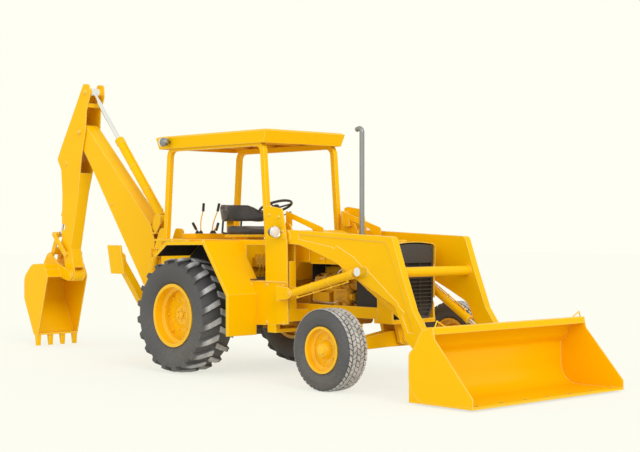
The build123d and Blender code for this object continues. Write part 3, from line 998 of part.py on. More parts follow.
def dipper():
    """Tapered dipper: two side plates and a front strip, open at its back where the bucket cylinder lies."""
    wide, narrow, t = DIPPER_HALF_WIDTH, DIPPER_FOOT_HALF_WIDTH, DIPPER_PLATE
    tip, foot = (BOOM_TIP_X, BOOM_TIP_Z), (HOE_PIN_X, HOE_PIN_Z)
    side = outline((-3030, DIPPER_TOP_Z, 20), (-2900, DIPPER_TOP_Z - 12, 40), (-2890, CROWD_EYE_Z - 60, 60), (-2968, 2960),
                   (-2985, tip[1], 200), (-3130, 2200), (-3370, 1240, 0.1), (foot[0] + 72, foot[1] + 90, 60), (foot[0] + 70, foot[1] - 70, 60),
                   (foot[0] - 70, foot[1] - 70, 60), (-3500, 1020, 100), (-3575, 1440, 80), (-3552, 2250, 60), (-3625, 2385, 50))
    full = side_plate(side, -wide, wide)
    taper = cross_plate(outline((-narrow, foot[1] - 200), (narrow, foot[1] - 200), (narrow, 1950), (wide, 2410),
                                (wide, DIPPER_TOP_Z + 50), (-wide, DIPPER_TOP_Z + 50), (-wide, 2410), (-narrow, 1950)),
                        -3800, -2700)
    hollow_taper = cross_plate(outline((t - narrow, foot[1] - 200), (narrow - t, foot[1] - 200), (narrow - t, 1950), (wide - t, 2410),
                                       (wide - t, DIPPER_TOP_Z + 50), (t - wide, DIPPER_TOP_Z + 50), (t - wide, 2410), (t - narrow, 1950)),
                               -3900, -2600)
    # Room in the back edge for the link's apex pin when the bucket is uncurled
    notch = side_plate(outline((-3640, 1478), (-3500, 1488, 28), (-3500, 1564, 28), (-3640, 1564)), -wide - 5, wide + 5)
    walls = (full & taper) - hollow_taper - notch
    strip_low = side_plate(outline((-3130, 2200), (-3142, 2200), (-3382, 1240), (foot[0] + 40, foot[1] + 110), (foot[0] + 55, foot[1] + 100), (-3370, 1240)), -wide, wide)
    strip_top = side_plate(outline((-2953, 3012), (-2965, 3012), (-2952, 3060), (-2940, 3060)), -wide, wide)
    back_top = side_plate(outline((-3080, 3225), (-3064, 3216), (-3540, 2490), (-3558, 2497)), -wide, wide)
    strips = (joined(strip_low) & taper)
    foot_sleeve = cross_pin(foot[0], foot[1], 140, -narrow, narrow)
    pivot = cross_pin(tip[0], tip[1], BOOM_TIP_PIN, -wide - 16, wide + 16)
    heads = both_sides(cross_pin(CROWD_EYE_X, CROWD_EYE_Z, 64, -wide - 14, -wide + t))
    cheeks = both_sides(cross_pin(CROWD_EYE_X, CROWD_EYE_Z, 110, -wide + t - 1, -CROWD_EYE_WIDTH / 2 - PIN_PLAY))
    base_heads = both_sides(cross_pin(HOE_CYLINDER_BASE_X, HOE_CYLINDER_BASE_Z, 60, -wide - 3, -46))
    link_heads = both_sides(cross_pin(LINK_FOOT_X, LINK_FOOT_Z, LINK_PIN_DIAMETER, -LINK_SPREAD - 24, -narrow + t / 2))
    link_bosses = both_sides(cross_pin(LINK_FOOT_X, LINK_FOOT_Z, LINK_PIN_DIAMETER + 24, -LINK_SPREAD + PIN_PLAY, -narrow + t / 2))
    foot_hole = cross_pin(foot[0], foot[1], HOE_PIN_DIAMETER + 2 * BORE_PLAY, -narrow - 20, narrow + 20)
    return joined(walls, strips, strip_top, back_top, foot_sleeve, pivot, heads, cheeks, base_heads, link_heads, link_bosses) - foot_hole


def hoe_bucket():
    """Digging bucket: rolled back, raked sides, four teeth and the ears for the dipper and its link."""
    half, wall = HOE_BUCKET_WIDTH / 2, HOE_BUCKET_WALL
    lip_top, lip_low = (-3560, 890), (-3790, 142)
    heel = HOE_HEEL_X
    corners = [lip_top, (-3640, 1060, 50), (-3930, 1045, 150), (heel, 880, 150), (heel, 600, 120), (-3880, 142)]
    inner = [(-3868, 154), (heel + wall, 603, 108), (heel + wall, 874, 138), (-3926, 1033, 138), (-3648, 1048, 38), (-3573, 886)]
    shell = side_plate(outline(*corners, *inner), -half, half)
    side = outline(lip_top, (-3640, 1060, 50), (-3930, 1045, 150), (heel, 880, 150), (heel, 600, 120), (-3880, 142), lip_low)
    sides = [side_plate(side, -half, -half + wall), side_plate(side, half - wall, half)]
    edge = side_plate(outline((-3880, 142), (-3790, 142), (-3795, 164), (-3880, 170)), -half, half)
    teeth = []
    pitch = (HOE_BUCKET_WIDTH - TOOTH_WIDTH) / (HOE_TEETH - 1)
    tooth_face = outline((-3860, 165), (-3796, 165), (-3812, 142 - TOOTH_LENGTH), (-3830, 142 - TOOTH_LENGTH))
    for step in range(HOE_TEETH):
        y = -half + TOOTH_WIDTH / 2 + step * pitch
        teeth.append(side_plate(tooth_face, y - TOOTH_WIDTH / 2, y + TOOTH_WIDTH / 2))
    ear = outline((HOE_PIN_X + 70, HOE_PIN_Z - 20, 50), (HOE_PIN_X + 60, HOE_PIN_Z + 75, 50), (HOE_PIN_X - 60, HOE_PIN_Z + 70, 40), (-3640, 1062),
                  (EAR_PIN_X + 60, EAR_PIN_Z + 20, 30), (EAR_PIN_X + 20, EAR_PIN_Z + 62, 30), (EAR_PIN_X - 50, EAR_PIN_Z + 30, 40), (EAR_PIN_X - 150, 1030),
                  (-3900, 1030), (-3650, 1050), (-3570, 880), (HOE_PIN_X - 30, HOE_PIN_Z - 70, 50))
    gap = DIPPER_FOOT_HALF_WIDTH + PIN_PLAY
    ears = both_sides(side_plate(ear, -gap - 20, -gap))
    pin = cross_pin(HOE_PIN_X, HOE_PIN_Z, HOE_PIN_DIAMETER, -gap - 26, gap + 26)
    ear_heads = both_sides(cross_pin(EAR_PIN_X, EAR_PIN_Z, LINK_PIN_DIAMETER, -gap - 26, -gap - 18))
    bar_top = side_plate(outline(lip_top, (-3573, 886), (-3620, 980), (-3600, 985)), -half, half)
    return joined(shell, sides, edge, teeth, ears, pin, ear_heads, bar_top)


def dipper_link():
    """Pair of bars from the dipper's foot to the link apex, outside the dipper, each with its own apex pin."""
    face = make_hull_bar((LINK_FOOT_X, LINK_FOOT_Z), (LINK_APEX_X, LINK_APEX_Z), LINK_WIDTH)
    flat = side_plate(face, -LINK_SPREAD - 18, -LINK_SPREAD)
    hole = cross_pin(LINK_FOOT_X, LINK_FOOT_Z, LINK_PIN_DIAMETER + 2 * BORE_PLAY, -LINK_SPREAD - 20, -LINK_SPREAD + 2)
    pin = cross_pin(LINK_APEX_X, LINK_APEX_Z, LINK_PIN_DIAMETER, -LINK_SPREAD - 24, -BUCKET_LINK_INNER + 1)
    return apart(both_sides(joined(flat - hole, pin)))


def make_hull_bar(start, end, width):
    """Flat bar with round ends between two (x, z) points."""
    angle = degrees(atan2(end[1] - start[1], end[0] - start[0]))
    length = hypot(end[0] - start[0], end[1] - start[1])
    middle = ((start[0] + end[0]) / 2, (start[1] + end[1]) / 2)
    return Pos(middle[0], middle[1]) * (Rot(0, 0, angle) * SlotCenterToCenter(length, width))


def bucket_link():
    """Pair of bars from the link apex to the bucket's ears, tied together near the bucket."""
    face = make_hull_bar((LINK_APEX_X, LINK_APEX_Z), (EAR_PIN_X, EAR_PIN_Z), LINK_WIDTH + 2)
    inner = BUCKET_LINK_INNER
    bars = both_sides(side_plate(face, -inner - 20, -inner))
    dx, dz = EAR_PIN_X - LINK_APEX_X, EAR_PIN_Z - LINK_APEX_Z
    tie = make_hull_bar((LINK_APEX_X + dx * 0.62, LINK_APEX_Z + dz * 0.62), (LINK_APEX_X + dx * 0.85, LINK_APEX_Z + dz * 0.85), 30)
    studs = both_sides(cross_pin(EAR_PIN_X, EAR_PIN_Z, LINK_PIN_DIAMETER, -DIPPER_FOOT_HALF_WIDTH + 1, -inner))
    # Flat on the foot, clear of the bucket's roof when the bucket is uncurled
    flat = side_plate(outline((EAR_PIN_X - 64, EAR_PIN_Z - 9), (EAR_PIN_X + 53, EAR_PIN_Z - 37), (EAR_PIN_X + 53, EAR_PIN_Z - 80),
                              (EAR_PIN_X - 64, EAR_PIN_Z - 80)), -inner - 30, inner + 30)
    hole = cross_pin(LINK_APEX_X, LINK_APEX_Z, LINK_PIN_DIAMETER + 2 * BORE_PLAY, -inner - 30, inner + 30)
    return joined(bars, side_plate(tie, -inner - 1, inner + 1), studs) - hole - flat


def boom_cylinder():
    """Cylinder inside the boom, from the swing post's top to the boom's middle."""
    base, eye = (BOOM_CYLINDER_BASE_X, BOOM_CYLINDER_BASE_Z), (BOOM_CYLINDER_EYE_X, BOOM_CYLINDER_EYE_Z)
    barrel = hydraulic_barrel(base, eye, 0, BOOM_BARREL_DIAMETER, BOOM_BARREL_LENGTH, BOOM_ROD_DIAMETER, 2 * (BOOM_HALF_WIDTH + 5))
    rod = hydraulic_rod(base, eye, 0, BOOM_BARREL_DIAMETER, BOOM_RETRACT, BOOM_ROD_DIAMETER, 74)
    return barrel, rod


def crowd_cylinder():
    """Long cylinder above the boom that works the dipper."""
    base, eye = (CROWD_BASE_X, CROWD_BASE_Z), (CROWD_EYE_X, CROWD_EYE_Z)
    barrel = hydraulic_barrel(base, eye, 0, CROWD_BARREL_DIAMETER, CROWD_BARREL_LENGTH, CROWD_ROD_DIAMETER, CROWD_EYE_WIDTH)
    rod = hydraulic_rod(base, eye, 0, CROWD_BARREL_DIAMETER, CROWD_RETRACT, CROWD_ROD_DIAMETER, CROWD_EYE_WIDTH)
    return barrel, rod


def hoe_cylinder():
    """Cylinder inside the dipper that works the bucket's link."""
    base, eye = (HOE_CYLINDER_BASE_X, HOE_CYLINDER_BASE_Z), (LINK_APEX_X, LINK_APEX_Z)
    barrel = hydraulic_barrel(base, eye, 0, HOE_BARREL_DIAMETER, HOE_BARREL_LENGTH, HOE_ROD_DIAMETER, 90)
    rod = hydraulic_rod(base, eye, 0, HOE_BARREL_DIAMETER, HOE_RETRACT, HOE_ROD_DIAMETER, 80)
    return barrel, rod


def stabilizer(sign):
    """Leg folded up beside the frame, with its ribbed pad."""
    up = radians(STABILIZER_UP_ANGLE)
    pad_turn = radians(STABILIZER_UP_ANGLE + STABILIZER_DOWN_ANGLE)
    py, pz = STABILIZER_PIVOT_Y, STABILIZER_PIVOT_Z
    at = lambda s, side=0: (py + cos(up) * s - sin(up) * side, pz + sin(up) * s + cos(up) * side)
    leg = outline(at(-45, -45), at(-45, 45), at(STABILIZER_LENGTH - 20, 40), at(STABILIZER_LENGTH + 40, 0), at(STABILIZER_LENGTH - 20, -40))
    beam = cross_plate(leg, STABILIZER_X - 45, STABILIZER_X + 45)
    slot = outline(at(STABILIZER_PIN_ALONG - 120, -24), at(STABILIZER_PIN_ALONG - 120, 80), at(STABILIZER_PIN_ALONG + 330, 80), at(STABILIZER_PIN_ALONG + 330, -24))
    slot = cross_plate(slot, STABILIZER_X - 31, STABILIZER_X + 31)
    foot = at(STABILIZER_LENGTH)
    # Down and along directions of the pad, turned with the folded leg
    down = (sin(pad_turn), -cos(pad_turn))
    along = (cos(pad_turn), sin(pad_turn))
    place = lambda a, d: (foot[0] + along[0] * a + down[0] * d, foot[1] + along[1] * a + down[1] * d)
    plate = outline(place(-150, 34), place(PAD_LENGTH - 150, 34), place(PAD_LENGTH - 150, 54), place(-150, 54))
    pad = cross_plate(plate, STABILIZER_X - PAD_WIDTH / 2, STABILIZER_X + PAD_WIDTH / 2)
    cheek = outline(place(-120, 35), place(PAD_LENGTH - 190, 35), place(45, -40), place(-45, -40))
    cheeks = [cross_plate(cheek, x, x + 16) for x in (STABILIZER_X - 66, STABILIZER_X + 50)]
    pin = bar((STABILIZER_X - 72, foot[0], foot[1]), (STABILIZER_X + 72, foot[0], foot[1]), 50)
    bore = bar((STABILIZER_X - 80, py, pz), (STABILIZER_X + 80, py, pz), STABILIZER_PIN_DIAMETER + 2 * BORE_PLAY)
    shape = joined(beam - slot, pad, cheeks, pin) - bore
    return shape if sign > 0 else mirror(shape, about=Plane.XZ)


def stabilizer_eye():
    """Place, in (y, z), of the cylinder's eye on the folded left leg."""
    up = radians(STABILIZER_UP_ANGLE)
    along, rise = STABILIZER_PIN_ALONG, STABILIZER_PIN_RISE
    return STABILIZER_PIVOT_Y + cos(up) * along - sin(up) * rise, STABILIZER_PIVOT_Z + sin(up) * along + cos(up) * rise


def stabilizer_cylinder(sign):
    """Barrel and rod that push a stabilizer leg down."""
    eye, base = stabilizer_eye(), (STABILIZER_HEAD_Y, STABILIZER_HEAD_Z)
    dy, dz, span = cylinder_axis(base, eye)
    at = lambda s: (STABILIZER_X, base[0] + dy * s, base[1] + dz * s)
    x = STABILIZER_X
    body = barrel_body(at(0), (0, dy, dz), STABILIZER_BARREL_DIAMETER, STABILIZER_BARREL_LENGTH, STABILIZER_ROD_DIAMETER)
    barrel = joined(body, bar((x - 46 + PIN_PLAY, *base), (x + 46 - PIN_PLAY, *base), 66))
    rod = joined(bar(at(60), at(span), STABILIZER_ROD_DIAMETER), bar((x - 31 + PIN_PLAY, *eye), (x + 31 - PIN_PLAY, *eye), 62))
    if sign < 0:
        return mirror(barrel, about=Plane.XZ), mirror(rod, about=Plane.XZ)
    return barrel, rod


def build_nodes():
    """Every named piece of the machine, measured from the rear axle."""
    nodes = wheel_nodes()
    nodes["front_axle"] = front_axle()
    nodes["front_knuckle_left"] = knuckle(1)
    nodes["front_knuckle_right"] = knuckle(-1)
    nodes["tie_rod"] = tie_rod()
    nodes["loader_arms"] = loader_arms()
    nodes["loader_bucket"] = loader_bucket()
    nodes["lift_barrels"], nodes["lift_rods"] = lift_cylinders()
    nodes["dump_barrels"], nodes["dump_rods"] = dump_cylinders()
    nodes["main_frame"] = main_frame()
    nodes["side_boxes"] = side_boxes()
    nodes["drivetrain"] = drivetrain()
    nodes["engine"] = engine()
    nodes["radiator"] = radiator()
    nodes["front_support"] = front_support()
    nodes["hood"] = hood()
    nodes["grille"] = grille()
    nodes["exhaust_stack"] = exhaust_stack()
    nodes["cowl"] = cowl()
    nodes["steering_wheel"] = steering_wheel()
    nodes["platform"] = platform()
    nodes["fender_left"] = fender(1)
    nodes["fender_right"] = fender(-1)
    nodes["canopy_roof"] = canopy_roof()
    nodes["canopy_posts"] = canopy_posts()
    nodes["seat_base"] = seat_base()
    nodes["seat_cushion"] = seat_cushion()
    nodes["seat_back"] = seat_back()
    nodes["backhoe_controls"] = backhoe_controls()
    nodes["work_lamps"] = work_lamps()
    nodes["rear_frame"] = rear_frame()
    nodes["swing_post"] = swing_post()
    nodes["boom"] = boom()
    nodes["dipper"] = dipper()
    nodes["hoe_bucket"] = hoe_bucket()
    nodes["dipper_link"] = dipper_link()
    nodes["bucket_link"] = bucket_link()
    nodes["boom_barrel"], nodes["boom_rod"] = boom_cylinder()
    nodes["crowd_barrel"], nodes["crowd_rod"] = crowd_cylinder()
    nodes["hoe_barrel"], nodes["hoe_rod"] = hoe_cylinder()
    for side, sign in (("left", 1), ("right", -1)):
        nodes[f"stabilizer_{side}"] = stabilizer(sign)
        nodes[f"stabilizer_barrel_{side}"], nodes[f"stabilizer_rod_{side}"] = stabilizer_cylinder(sign)
    return nodes


def main():
    os.makedirs("parts", exist_ok=True)
    for name, shape in build_nodes().items():
        placed = Pos(REAR_AXLE_X, 0, 0) * shape
        placed.label = name
        export_step(placed, f"parts/{name}.step")


if __name__ == "__main__":
    main()
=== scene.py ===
import bpy
import bmesh
from math import atan2, cos, radians, sin, tau
from mathutils import Matrix, Vector


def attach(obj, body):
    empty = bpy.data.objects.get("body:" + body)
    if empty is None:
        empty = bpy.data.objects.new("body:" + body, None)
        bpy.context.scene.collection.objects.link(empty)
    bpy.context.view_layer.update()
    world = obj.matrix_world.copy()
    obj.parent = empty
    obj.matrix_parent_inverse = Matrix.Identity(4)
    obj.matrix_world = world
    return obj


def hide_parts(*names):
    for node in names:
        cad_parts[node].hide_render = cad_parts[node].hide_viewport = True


# Backhoe loader dressed for its portrait. Places are in millimetres from the rear axle, as in the part's
# source, and at() turns them into metres of the shared frame.
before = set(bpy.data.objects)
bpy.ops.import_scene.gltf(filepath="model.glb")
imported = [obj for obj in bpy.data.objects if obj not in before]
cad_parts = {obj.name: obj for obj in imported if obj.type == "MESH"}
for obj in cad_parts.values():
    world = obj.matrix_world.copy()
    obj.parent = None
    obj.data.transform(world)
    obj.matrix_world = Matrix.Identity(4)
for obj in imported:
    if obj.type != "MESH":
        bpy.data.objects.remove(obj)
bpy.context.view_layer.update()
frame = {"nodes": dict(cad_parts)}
NODES, SCENE = frame["nodes"], bpy.context.scene
REAR_AXLE_X = -10.5
UP, FORWARD, LEFT = Vector((0, 0, 1)), Vector((1, 0, 0)), Vector((0, 1, 0))
SIDES = (("left", 1), ("right", -1))
FRONT_AXLE_X, FRONT_WHEEL_Y, FRONT_RADIUS = 2255, 890, 385
REAR_WHEEL_Y, REAR_RADIUS = 835, 600


def at(x, y, z):
    """Place in the shared frame, from millimetres from the rear axle."""
    return Vector(((x + REAR_AXLE_X) / 1000, y / 1000, z / 1000))


def object_from(bm, name):
    """New object at the origin that holds the bmesh's mesh."""
    mesh = bpy.data.meshes.new(name)
    bm.to_mesh(mesh)
    bm.free()
    made = bpy.data.objects.new(name, mesh)
    SCENE.collection.objects.link(made)
    return made


# Camera and light

CAMERA_PLACE = (11442, -9615, 1509)
CAMERA_TURN, CAMERA_TILT = radians(46.896), radians(0.088)
SENSOR_WIDTH, FOCAL_LENGTH, VIEW_REACH = 36, 77.0, 200
# Name, direction the light travels, strength, softness in degrees
SUNS = (("key_lamp", (-0.8, 0.26, -0.52), 1.05, 30), ("side_lamp", (-0.15, 0.95, -0.3), 0.44, 60))
PAPER = (1.0, 1.0, 0.9, 1)
ROOM_COLOUR, ROOM_STRENGTH = (1, 1, 0.97, 1), 0.84
FLOOR_COLOUR, FLOOR_REACH, FLOOR_GLOW = (0.9, 0.9, 0.84, 1), 60, 0.72


def camera_and_light():
    """Camera where the photographer stood, one broad key lamp and a weaker one from the side."""
    level = cos(CAMERA_TILT)
    ahead = Vector((-sin(CAMERA_TURN) * level, cos(CAMERA_TURN) * level, sin(CAMERA_TILT)))
    data = bpy.data.cameras.new("portrait_camera")
    data.sensor_width, data.lens, data.clip_end = SENSOR_WIDTH, FOCAL_LENGTH, VIEW_REACH
    camera = bpy.data.objects.new("portrait_camera", data)
    camera.location = at(*CAMERA_PLACE)
    camera.rotation_euler = ahead.to_track_quat("-Z", "Y").to_euler()
    SCENE.collection.objects.link(camera)
    SCENE.camera = camera
    SCENE.view_settings.view_transform = "Standard"
    for name, aim, strength, softness in SUNS:
        lamp = bpy.data.lights.new(name, "SUN")
        lamp.energy, lamp.angle = strength, radians(softness)
        holder = bpy.data.objects.new(name, lamp)
        holder.rotation_euler = Vector(aim).to_track_quat("-Z", "Y").to_euler()
        SCENE.collection.objects.link(holder)


def paper_shader(tree, plain, shown):
    """Shows one colour to the camera, in mirrors and through glass, and a plain one to all else."""
    path = new_node(tree, "LightPath").outputs
    seen = math_node(tree, "MAXIMUM", path["Is Camera Ray"], path["Is Glossy Ray"])
    mix = new_node(tree, "MixShader")
    tree.links.new(math_node(tree, "MAXIMUM", seen, path["Is Transmission Ray"]), mix.inputs[0])
    tree.links.new(plain, mix.inputs[1])
    tree.links.new(shown, mix.inputs[2])
    return mix.outputs[0]


def studio():
    """Pale backdrop and a pale floor that keeps the machine's shadow."""
    world = bpy.data.worlds.new("studio")
    SCENE.world = world
    world.use_nodes = True
    tree = world.node_tree
    tree.nodes.clear()
    room, backdrop = new_node(tree, "Background"), new_node(tree, "Background")
    set_inputs(room, Color=ROOM_COLOUR, Strength=ROOM_STRENGTH)
    set_inputs(backdrop, Color=PAPER)
    out = new_node(tree, "OutputWorld")
    tree.links.new(paper_shader(tree, room.outputs[0], backdrop.outputs[0]), out.inputs["Surface"])
    bm = bmesh.new()
    bmesh.ops.create_grid(bm, x_segments=1, y_segments=1, size=FLOOR_REACH)
    floor = object_from(bm, "studio_floor")
    material = bpy.data.materials.new("studio_floor")
    material.use_nodes = True
    tree = material.node_tree
    tree.nodes.clear()
    matt, glow = new_node(tree, "BsdfDiffuse"), new_node(tree, "Emission")
    set_inputs(matt, Color=FLOOR_COLOUR)
    set_inputs(glow, Color=PAPER)
    blend = new_node(tree, "MixShader")
    blend.inputs[0].default_value = FLOOR_GLOW
    tree.links.new(matt.outputs[0], blend.inputs[1])
    tree.links.new(glow.outputs[0], blend.inputs[2])
    out = new_node(tree, "OutputMaterial")
    tree.links.new(paper_shader(tree, matt.outputs[0], blend.outputs[0]), out.inputs["Surface"])
    floor.data.materials.append(material)


# Shader nodes

def new_node(tree, kind):
    """New shader node of a kind."""
    return tree.nodes.new("ShaderNode" + kind)


def set_inputs(node, **values):
    """Gives a node's inputs plain values; underscores in the names stand for spaces."""
    for title, value in values.items():
        node.inputs[title.replace("_", " ")].default_value = value


def feed(tree, socket, value):
    """Gives a socket a plain number or colour, or links it to another socket."""
    if isinstance(value, (int, float, tuple)):
        socket.default_value = value
    else:
        tree.links.new(value, socket)


def object_place(tree):
    """Place on the object, in its own coordinates."""
    return new_node(tree, "TexCoord").outputs["Object"]


def parts_of(tree, vector):
    """X, Y and Z of a vector."""
    split = new_node(tree, "SeparateXYZ")
    tree.links.new(vector, split.inputs[0])
    return split.outputs


def math_node(tree, operation, first, second=0.5, clamp=False):
    """Math node fed by sockets or plain numbers."""
    made = new_node(tree, "Math")
    made.operation, made.use_clamp = operation, clamp
    feed(tree, made.inputs[0], first)
    feed(tree, made.inputs[1], second)
    return made.outputs[0]


def noise_node(tree, vector, scale, detail, rough=0.55):
    """Noise texture's factor on a vector; the scale may be a socket."""
    made = new_node(tree, "TexNoise")
    set_inputs(made, Detail=detail, Roughness=rough)
    feed(tree, made.inputs["Scale"], scale)
    tree.links.new(vector, made.inputs["Vector"])
    return made.outputs[0]


def mix_colour(tree, factor, first, second, mode="MIX"):
    """Colour mix fed by sockets or plain colours."""
    made = new_node(tree, "Mix")
    made.data_type, made.blend_type = "RGBA", mode
    for index, value in ((0, factor), (6, first), (7, second)):
        feed(tree, made.inputs[index], value)
    return made.outputs[2]


def span_node(tree, value, low, high, out_low=0.0, out_high=1.0):
    """Map Range, smooth and clamped."""
    made = new_node(tree, "MapRange")
    made.interpolation_type = "SMOOTHSTEP"
    for index, number in enumerate((value, low, high, out_low, out_high)):
        feed(tree, made.inputs[index], number)
    return made.outputs[0]


def bump_node(tree, height, strength, depth, normal=None):
    """Bump from a height, laid over another normal where one is given."""
    made = new_node(tree, "Bump")
    set_inputs(made, Strength=strength, Distance=depth)
    tree.links.new(height, made.inputs["Height"])
    if normal:
        tree.links.new(normal, made.inputs["Normal"])
    return made.outputs[0]


# Shared finishes, as node groups

BEVEL_SAMPLES = 6
# Heights between which low dust thins out, in metres, and scales of the faded patches and the specks
DUST_TOP, DUST_FULL, PATCH_SCALE, SPECK_SCALE = 1.15, 0.05, 1.7, 46.0
DUST_COLOUR, FADED_TINT = (0.4, 0.33, 0.22, 1), (0.8, 0.74, 0.62, 1)


def new_group(name, inputs, outputs):
    """Empty shader node group with named sockets, each given as a name and a kind."""
    group = bpy.data.node_groups.new(name, "ShaderNodeTree")
    for way, sockets in (("INPUT", inputs), ("OUTPUT", outputs)):
        for title, kind in sockets:
            group.interface.new_socket(title, in_out=way, socket_type="NodeSocket" + kind)
    return group, group.nodes.new("NodeGroupInput"), group.nodes.new("NodeGroupOutput")


def edge_group():
    """Finds the edges of a plate: a mask along them, used for a painted highlight, and a normal that rounds
    them.
    """
    group, entry, exit_ = new_group("plate_edges", (("Radius", "Float"), ("Gain", "Float")),
        (("Edge", "Float"), ("Normal", "Vector")))
    bevel = new_node(group, "Bevel")
    bevel.samples = BEVEL_SAMPLES
    group.links.new(entry.outputs["Radius"], bevel.inputs["Radius"])
    geometry = new_node(group, "NewGeometry")
    dot = new_node(group, "VectorMath")
    dot.operation = "DOT_PRODUCT"
    group.links.new(bevel.outputs[0], dot.inputs[0])
    group.links.new(geometry.outputs["Normal"], dot.inputs[1])
    bend = math_node(group, "SUBTRACT", 1.0, dot.outputs["Value"], True)
    mask = math_node(group, "MULTIPLY", bend, entry.outputs["Gain"], True)
    group.links.new(mask, exit_.inputs["Edge"])
    group.links.new(bevel.outputs[0], exit_.inputs["Normal"])
    return group


def weather_group():
    """Faded patches, dust that gathers low down and on level faces, and fine orange peel."""
    group, entry, exit_ = new_group("weathered_paint",
        (("Color", "Color"), ("Dust Color", "Color"), ("Dust", "Float"), ("Fade", "Float"),
         ("Peel Scale", "Float")),
        (("Color", "Color"), ("Dirt", "Float"), ("Height", "Float")))
    place = object_place(group)
    patches = noise_node(group, place, PATCH_SCALE, 4.0)
    specks = noise_node(group, place, SPECK_SCALE, 5.0, 0.7)
    low = span_node(group, parts_of(group, place)["Z"], DUST_TOP, DUST_FULL)
    normal = new_node(group, "NewGeometry").outputs["Normal"]
    level = span_node(group, parts_of(group, normal)["Z"], 0.55, 1.0, 0, 0.35)
    gathered = math_node(group, "ADD", math_node(group, "MULTIPLY", low, 0.75), level)
    mottle = math_node(group, "MULTIPLY", math_node(group, "ADD", patches, specks), 0.5)
    broken = span_node(group, mottle, 0.36, 0.66)
    dirt = math_node(group, "MULTIPLY", math_node(group, "MULTIPLY", gathered, broken),
        entry.outputs["Dust"], True)
    darker = mix_colour(group, 1.0, entry.outputs["Color"], FADED_TINT, "MULTIPLY")
    fade = math_node(group, "MULTIPLY", span_node(group, patches, 0.3, 0.72), entry.outputs["Fade"])
    faded = mix_colour(group, fade, entry.outputs["Color"], darker)
    group.links.new(mix_colour(group, dirt, faded, entry.outputs["Dust Color"]), exit_.inputs["Color"])
    group.links.new(dirt, exit_.inputs["Dirt"])
    peel = noise_node(group, place, entry.outputs["Peel Scale"], 2.0)
    height = math_node(group, "ADD", peel, math_node(group, "MULTIPLY", specks, 0.6))
    group.links.new(height, exit_.inputs["Height"])
    return group


def tread_group():
    """Mask that grows with the distance from a wheel's axle, for paler tread tops: scuffing and dust, and a
    painted highlight.
    """
    group, entry, exit_ = new_group("tread_scuff_and_highlight",
        (("Axle X", "Float"), ("Axle Z", "Float"), ("Clean Radius", "Float"), ("Worn Radius", "Float")),
        (("Worn", "Float"),))
    place = parts_of(group, object_place(group))
    squares = []
    for axis in ("X", "Z"):
        offset = math_node(group, "SUBTRACT", place[axis], entry.outputs["Axle " + axis])
        squares.append(math_node(group, "POWER", offset, 2.0))
    reach = math_node(group, "SQRT", math_node(group, "ADD", *squares))
    worn = span_node(group, reach, entry.outputs["Clean Radius"], entry.outputs["Worn Radius"])
    group.links.new(worn, exit_.inputs["Worn"])
    return group


EDGES, WEATHER, TREAD = edge_group(), weather_group(), tread_group()


def place_group(tree, group, **values):
    """Group node with its inputs set."""
    made = new_node(tree, "Group")
    made.node_tree = group
    set_inputs(made, **values)
    return made


# Materials

DIRT_ROUGHNESS, COAT_ROUGHNESS, PEEL_DEPTH = 0.35, 0.12, 0.0015


def new_material(name):
    """New material with its node tree and main shader."""
    material = bpy.data.materials.new(name)
    material.use_nodes = True
    return material, material.node_tree, material.node_tree.nodes["Principled BSDF"]


def surface(name, colour, rough, metal=0, coat=0, specular=0.5, dust=0.25, fade=0.15, peel=420.0,
        bump=0.12, edge=0.005, gain=6.0, edge_glint_colour=None, edge_glint_share=0.5, dust_and_shade_colour=DUST_COLOUR):
    """Weathered finish with rounded edges and a painted highlight along them."""
    material, tree, shader = new_material(name)
    weather = place_group(tree, WEATHER, Color=colour, Dust_Color=dust_and_shade_colour, Dust=dust, Fade=fade,
        Peel_Scale=peel)
    edges = place_group(tree, EDGES, Radius=edge, Gain=gain)
    colour_out = weather.outputs["Color"]
    # Painted highlight: the colour is mixed towards a paler one along the edges, where light would glint
    if edge_glint_colour:
        share = math_node(tree, "MULTIPLY", edges.outputs["Edge"], edge_glint_share)
        colour_out = mix_colour(tree, share, colour_out, edge_glint_colour)
    tree.links.new(colour_out, shader.inputs["Base Color"])
    dulled = math_node(tree, "MULTIPLY", weather.outputs["Dirt"], DIRT_ROUGHNESS)
    tree.links.new(math_node(tree, "ADD", dulled, rough, True), shader.inputs["Roughness"])
    relief = bump_node(tree, weather.outputs["Height"], bump, PEEL_DEPTH, edges.outputs["Normal"])
    tree.links.new(relief, shader.inputs["Normal"])
    set_inputs(shader, Metallic=metal, Specular_IOR_Level=specular, Coat_Weight=coat,
        Coat_Roughness=COAT_ROUGHNESS)
    return material, tree, shader


def rubber(name, axle, clean, worn):
    """Tyre rubber: charcoal walls with a fine moulded grain, and tread tops painted paler for scuffing and
    dust and as a painted highlight.
    """
    material, tree, shader = surface(name, (0.072, 0.072, 0.076, 1), 0.62, dust=0.5, fade=0.4, peel=260.0,
        bump=0.25, edge=0.004, gain=5.0, edge_glint_colour=grey(0.24), edge_glint_share=0.6,
        dust_and_shade_colour=(0.25, 0.23, 0.2, 1))
    base = shader.inputs["Base Color"].links[0].from_socket
    scuff_and_highlight = place_group(tree, TREAD, Axle_X=axle.x, Axle_Z=axle.z, Clean_Radius=clean, Worn_Radius=worn)
    broken = span_node(tree, noise_node(tree, object_place(tree), 9.0, 5.0, 0.65), 0.3, 0.62, 0.55, 1.0)
    share = math_node(tree, "MULTIPLY", math_node(tree, "MULTIPLY", scuff_and_highlight.outputs["Worn"], broken), 0.95)
    # Tread tops mixed towards pale grey: scuffing and dust, and a painted highlight on the tread
    tree.links.new(mix_colour(tree, share, base, (0.6, 0.6, 0.59, 1)), shader.inputs["Base Color"])
    return material


